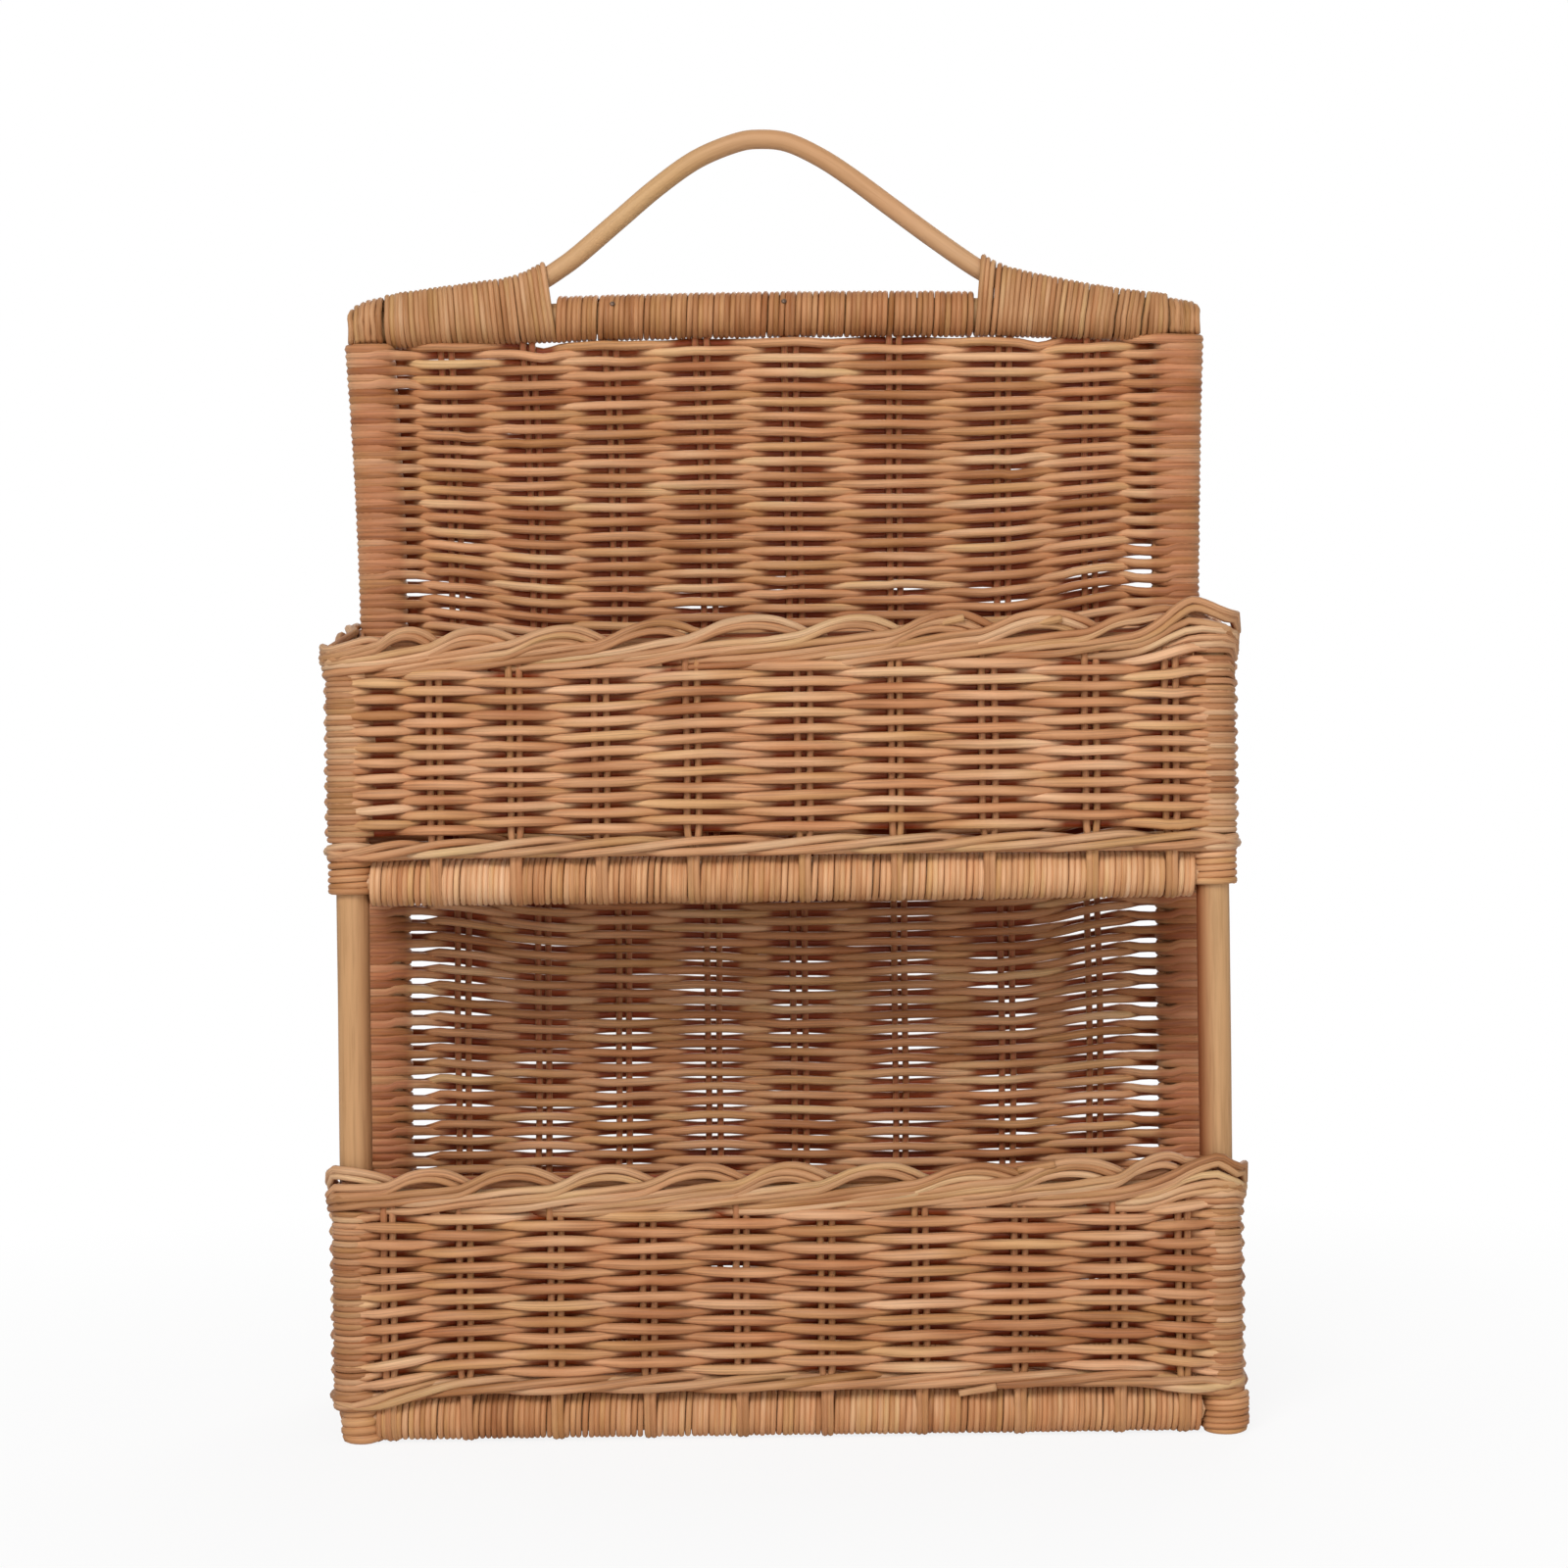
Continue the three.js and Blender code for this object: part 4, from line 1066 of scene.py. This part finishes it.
def bundle(x, angle, grow):
    """The outside of rail and bow together at a place, as a point that faces the given angle"""
    height = float(np.interp(x, bow_line[:, 0], bow_line[:, 1]))
    ahead = float(np.interp(x + 1, bow_line[:, 0], bow_line[:, 1]))
    tall = math.hypot(1, ahead - height)
    sin, cos = math.sin(angle), math.cos(angle)
    rail = (RAIL_RADIUS + grow) * np.array([sin, cos]) + np.array([0, rail_drop(x)])
    cane = np.array([(BOW_RADIUS + grow) * sin, height + (BOW_RADIUS * tall + grow) * cos])
    return rail if rail[0] * sin + rail[1] * cos > cane[0] * sin + cane[1] * cos else cane


def bindings():
    """The two bindings of the bow. Each turn leans outwards at the top, by one share of its
    height at the inner end and another towards the outer end, where it stands upright again."""
    upright_over, least_height = 12, -4
    for side, name, length, turns, lean_in, lean_out in (
            (-1, "left_handle_binding", LEFT_BINDING, 33, 0.13, 0.03),
            (1, "right_handle_binding", RIGHT_BINDING, 37, 0.08, 0.22)):

        def place(out, angle, grow):
            from_end = BINDING_END - out
            lean = lerp(lean_out, lean_in, from_end / length) * smooth(from_end / upright_over)
            thick = WRAP_RADIUS + 0.4 + grow
            y, z = bundle(side * out, angle, thick)
            x = out + lean * max(z, least_height)
            y, z = bundle(side * x, angle, thick)
            return side * x, BACK_Y + y, TOP_RAIL_Z + z

        start, end = BINDING_END - length + WRAP_RADIUS, BINDING_END - WRAP_RADIUS * 0.6
        run = wound(start, end, (end - start) / turns, place, 101 + side, 16, 0.6, uneven=0.13)
        strands(f"{name}_cane", [run], WRAP_RADIUS, handle_finish, [name])


def corner_caps():
    """Single turns over the ends of the top rail, each with its own height"""
    for side, node, pitch, radii in (
            (-1, "top_left_corner_cap", 2.45, (13.9, 13.6, 13.0, 12.3, 11.2, 9.6)),
            (1, "top_right_corner_cap", 2.1, (9.8, 9.5, 9.2, 8.9, 8.5, 7.6))):
        runs = []
        for i, radius in enumerate(radii):
            x = BINDING_END + 1.2 + i * pitch
            points = []
            for degrees, cos, sin in arc(-135, 135, 19):
                reach = lerp(RAIL_RADIUS + 1.6, radius - WRAP_RADIUS, smooth(cos * 0.9 + 0.3))
                points.append((side * (x + 0.3 * wander(110 + i, 30, degrees)),
                               BACK_Y + reach * sin, TOP_RAIL_Z + rail_drop(x) + reach * cos))
            runs.append(Strand(points).vary(0.05))
        strands(f"{node}_cane", runs, WRAP_RADIUS * 1.03, handle_finish, [node])


def lashing(name, node, x, low, high, turns, radius, outer):
    """Cane wound round a front post between two heights. The first turn lies flat, and the
    lashing draws in at the ground."""
    pitch = (high - low - 2 * radius) / turns
    most_inset, inset_below, inset_over = 1.8, 3.6, 3

    def place(z, angle, grow):
        z = low + radius + max(0.0, z - low - radius - pitch) * turns / (turns - 1)
        reach = outer - radius + grow * 0.6 - most_inset * fades(z, inset_below, inset_over)
        return x + reach * math.cos(angle), FRONT_Y + reach * math.sin(angle), z

    run = wound(low + radius, high - radius, pitch, place, 120 + x / 100, 18, -0.1, 0.2)
    strands(name, [run], radius, binding_finish, [node])


def tacks():
    """Two small nail heads in front on the middle wrap"""
    head_size = (1.15, 0.55, 1.15, 1)
    outside = RAIL_RADIUS + 0.4 + 2 * WRAP_RADIUS
    heads = bmesh.new()
    for x, up in ((-69.8, 4.8), (3.5, 4.4)):
        lean = math.asin(up / outside)
        height = TOP_RAIL_Z + rail_drop(x) + up
        place = Vector((x, BACK_Y - outside * math.cos(lean), height)) * MM
        turn = Matrix.Rotation(-lean, 4, "X") @ Matrix.Diagonal(head_size)
        bmesh.ops.create_uvsphere(heads, u_segments=20, v_segments=10, radius=MM,
                                  matrix=Matrix.Translation(place) @ turn)
    # Blender makes the faces in another order each time, so they are sorted
    faces = [[tuple(corner.co) for corner in face.verts] for face in heads.faces]
    heads.free()
    firsts = [face.index(min(face)) for face in faces]
    faces = sorted(face[first:] + face[:first] for face, first in zip(faces, firsts))
    corners = sorted({corner for face in faces for corner in face})
    numbers = {corner: number for number, corner in enumerate(corners)}
    mesh = bpy.data.meshes.new("rail_tacks")
    mesh.from_pydata(corners, [], [[numbers[corner] for corner in face] for face in faces])
    iron = material("tack_iron")
    spots = iron.noise(iron.place(), 900.0, 3.0)
    tone = iron.ramp(spots, [(0.35, colour("#4b382c")), (0.7, colour("#7a6250"))])
    iron.fix(Base_Color=tone, Metallic=0.6, Roughness=0.4 + spots * 0.2)
    mesh.materials.append(iron.made)
    mesh.shade_smooth()
    show("rail_tacks", mesh)


# Poles

def straight_pole(name, node, start, end, radius, waist=None, shaded=(0, 0, 0)):
    """A pole with eased ends. It may be thinner near its start, inside a lashing. Shaded gives the
    side of it that gets painted shade, and how much.
    """
    ease, eased_over, waist_to = 0.88, 0.6, 14
    start, end = np.array(start, float), np.array(end, float)
    length = np.linalg.norm(end - start)
    tip = eased_over / length
    points, thick = [], []
    for share in [0, tip] + list(np.linspace(0.02, 0.98, 30)) + [1 - tip, 1]:
        points.append(start + (end - start) * share)
        full = ease if share in (0, 1) else 1.0
        if waist and share * length < waist_to:
            full = waist if share else waist * 0.8
        uneven = 0.012 * wander(130, 50, share * length, radius * 31 + start[0])
        thick.append(full * (1 + uneven))
    run = Strand(points, thick, [shaded] * len(points))
    strands(name, [run], radius, pole_finish, [node], rings=8)


def poles():
    """The poles that show. The others keep their solids, in a plain cane."""
    front_top, back_half = 315, 161.5
    # The inner side of each front post gets painted shade, more on the right
    for side, word, shaded in ((-1, "left", (0.4, 0, 0)), (1, "right", (-0.75, 0, 0))):
        x = side * HALF_SPAN
        straight_pole(f"front_{word}_pole", f"front_{word}_post", (x, FRONT_Y, 0),
                      (x, FRONT_Y, front_top), POST_RADIUS, waist=0.74, shaded=shaded)
    straight_pole("upper_back_pole", "upper_back_rail", (-back_half, BACK_RAIL_Y, UPPER_RAIL_Z),
                  (back_half, BACK_RAIL_Y, UPPER_RAIL_Z), SIDE_RAIL_RADIUS)
    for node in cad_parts.values():
        if not node.hide_render:
            node.data.materials.clear()
            node.data.materials.append(plain_pole)


def plain_pole_finish():
    pole = material("hidden_pole_cane")
    mapped = pole.node("ShaderNodeMapping", {}, Vector=pole.place(), Scale=(60.0, 60.0, 6.0))
    grain = pole.noise(mapped, 3.0, 4.0)
    tone = pole.ramp(grain, [(0.3, colour("#b58659")), (0.7, colour("#cda379"))])
    bump = pole.node("ShaderNodeBump", {}, Strength=0.3, Distance=0.0004, Height=grain)
    pole.fix(Base_Color=tone, Roughness=0.45 + grain * 0.15, Normal=bump)
    return pole.made


plain_pole = plain_pole_finish()


# The basket

back_weave()
back_stakes()
upper = Tray(
    "upper", UPPER_RAIL_Z, UPPER_PAIRS, UPPER_GAPS, 20.0, wale=(10.6, 5.2), rows=(20.4, 83.4, 21),
    rim_foot=87.1, rim=100.7, left_low=3.5, side_rise=15.0, corner_rise=(0.0, 9.5),
    droop=(7.0, 9.5), droop_reach=18.0, side_drop=(6.5, 8.0), foot_rise=(-1.0, -1.0),
    edge_station=-158.0, cut_ends=((70.8, 101.0), (109.0, 100.2)), plump=0.17)
lower = Tray(
    "lower", LOWER_RAIL_Z, LOWER_PAIRS, LOWER_GAPS, 30.0, wale=(11.2, 4.6), rows=(18.6, 78.8, 20),
    rim_foot=83.1, rim=96.3, left_low=0.0, side_rise=-2.0, corner_rise=(1.5, 5.0),
    droop=(0.0, 8.0), droop_reach=10.0, side_drop=(5.0, 8.5), foot_rise=(-7.0, -4.5),
    edge_station=None, cut_ends=((103.7, 97.6), (79.7, 10.6)), plump=0.23)
for tray, floor_to in ((upper, BACK_RAIL_Y - 6.3), (lower, BACK_Y - 9.9)):
    wall_rows(tray)
    corner_turns(tray)
    wales(tray)
    rim(tray)
    tray_stakes(tray, floor_to + 2)
    floor_weave(tray, floor_to)
    rail_windings(f"{tray.name}_front", FRONT_Y, tray.rail, tray.pairs, tray.seed + 5,
                  wrap_finish if tray is upper else binding_finish)
rail_windings("back_bottom", BACK_Y, LOWER_RAIL_Z, [], 55.0, binding_finish)
bow()
top_rail()
tacks()
bindings()
corner_caps()
for word, x in (("left", -HALF_SPAN), ("right", HALF_SPAN)):
    lashing(f"upper_{word}_lashing_cane", f"upper_{word}_lashing", x, UPPER_RAIL_Z - 4.6,
            UPPER_RAIL_Z + 12, 6, 1.45, 9.9)
lashing("lower_left_foot_cane", "lower_left_foot_lashing", -HALF_SPAN + 1.8, 0.1, 15.5, 4,
        2.3, 9.2)
lashing("lower_right_foot_cane", "lower_right_foot_lashing", HALF_SPAN + 2.2, 0.1, 17.2, 7,
        1.45, 10.0)
poles()


# Floor, light and camera

WHITE = (1, 1, 1, 1)
MIDDLE = (0, 0, 0.25)


def ground():
    """A pale floor that takes the basket's shadow. To the camera it glows, less round the
    basket than farther away, so that it goes over into the white ground of the picture."""
    near, far, least_glow = 0.15, 0.7, 0.86
    grid = bmesh.new()
    bmesh.ops.create_grid(grid, x_segments=1, y_segments=1, size=12.0)
    mesh = bpy.data.meshes.new("floor")
    grid.to_mesh(mesh)
    grid.free()
    floor = into_scene("floor", mesh)
    pale = material("pale_floor")
    pale.fix(Base_Color=(0.93, 0.93, 0.93, 1), Roughness=0.9, Specular_IOR_Level=0.1)
    away = pale.node("ShaderNodeVectorMath", {"operation": "LENGTH"}, pale.place(), output=1)
    share = pale.node("ShaderNodeMapRange", {}, away, near, far, least_glow, 1.0)
    seen = pale.node("ShaderNodeLightPath", {}, output=0)
    glow = pale.node("ShaderNodeEmission", {}, WHITE, 1.0)
    plain = Socket(pale, pale.shader.outputs[0])
    both = pale.node("ShaderNodeMixShader", {}, seen * share, plain, glow)
    pale.join(both, pale.tree.nodes["Material Output"].inputs["Surface"])
    mesh.materials.append(pale.made)


def light(name, place, target, size, watts):
    lamp = bpy.data.lights.new(name, "AREA")
    lamp.shape = "RECTANGLE"
    lamp.size, lamp.size_y = size
    lamp.energy = watts
    holder = into_scene(name, lamp)
    holder.location = place
    toward = Vector(target) - Vector(place)
    holder.rotation_euler = toward.to_track_quat("-Z", "Y").to_euler()


def studio():
    """Soft light from a pale room, which is white where the camera or a reflection sees it"""
    world = bpy.context.scene.world = bpy.data.worlds.new("studio")
    room = Finish(world, "Background")
    room.fix(Color=WHITE, Strength=0.2)
    by_camera, in_reflection = (room.node("ShaderNodeLightPath", {}, output=ray)
                                for ray in ("Is Camera Ray", "Is Glossy Ray"))
    settings = {"operation": "ADD", "use_clamp": True}
    seen = room.node("ShaderNodeMath", settings, by_camera, in_reflection)
    dim = Socket(room, room.shader.outputs[0])
    white = room.node("ShaderNodeBackground", {}, WHITE, 1.0)
    both = room.node("ShaderNodeMixShader", {}, seen, dim, white)
    room.join(both, room.tree.nodes["World Output"].inputs["Surface"])
    light("key", (-1.0, -3.2, 2.3), MIDDLE, (1.5, 1.5), 104)
    light("fill", (1.1, -2.9, 0.35), MIDDLE, (1.8, 1.2), 30)
    light("back", (0.5, 2.2, 1.4), (0, 0, 0.3), (1.4, 1.4), 26)


def camera():
    """Level with the middle of the basket, turned a little to stand as the photo's does"""
    lens = bpy.data.cameras.new("camera")
    lens.lens = 73.4
    lens.sensor_width = 36.0
    holder = into_scene("camera", lens)
    upright, tilt = math.radians(90), math.radians(-0.7)
    turn = Matrix.Rotation(upright, 4, "X") @ Matrix.Rotation(tilt, 4, "Z")
    holder.matrix_world = Matrix.Translation((0.001, -1.317, 0.258)) @ turn
    bpy.context.scene.camera = holder


ground()
studio()
camera()
bpy.context.scene.view_settings.view_transform = "Standard"
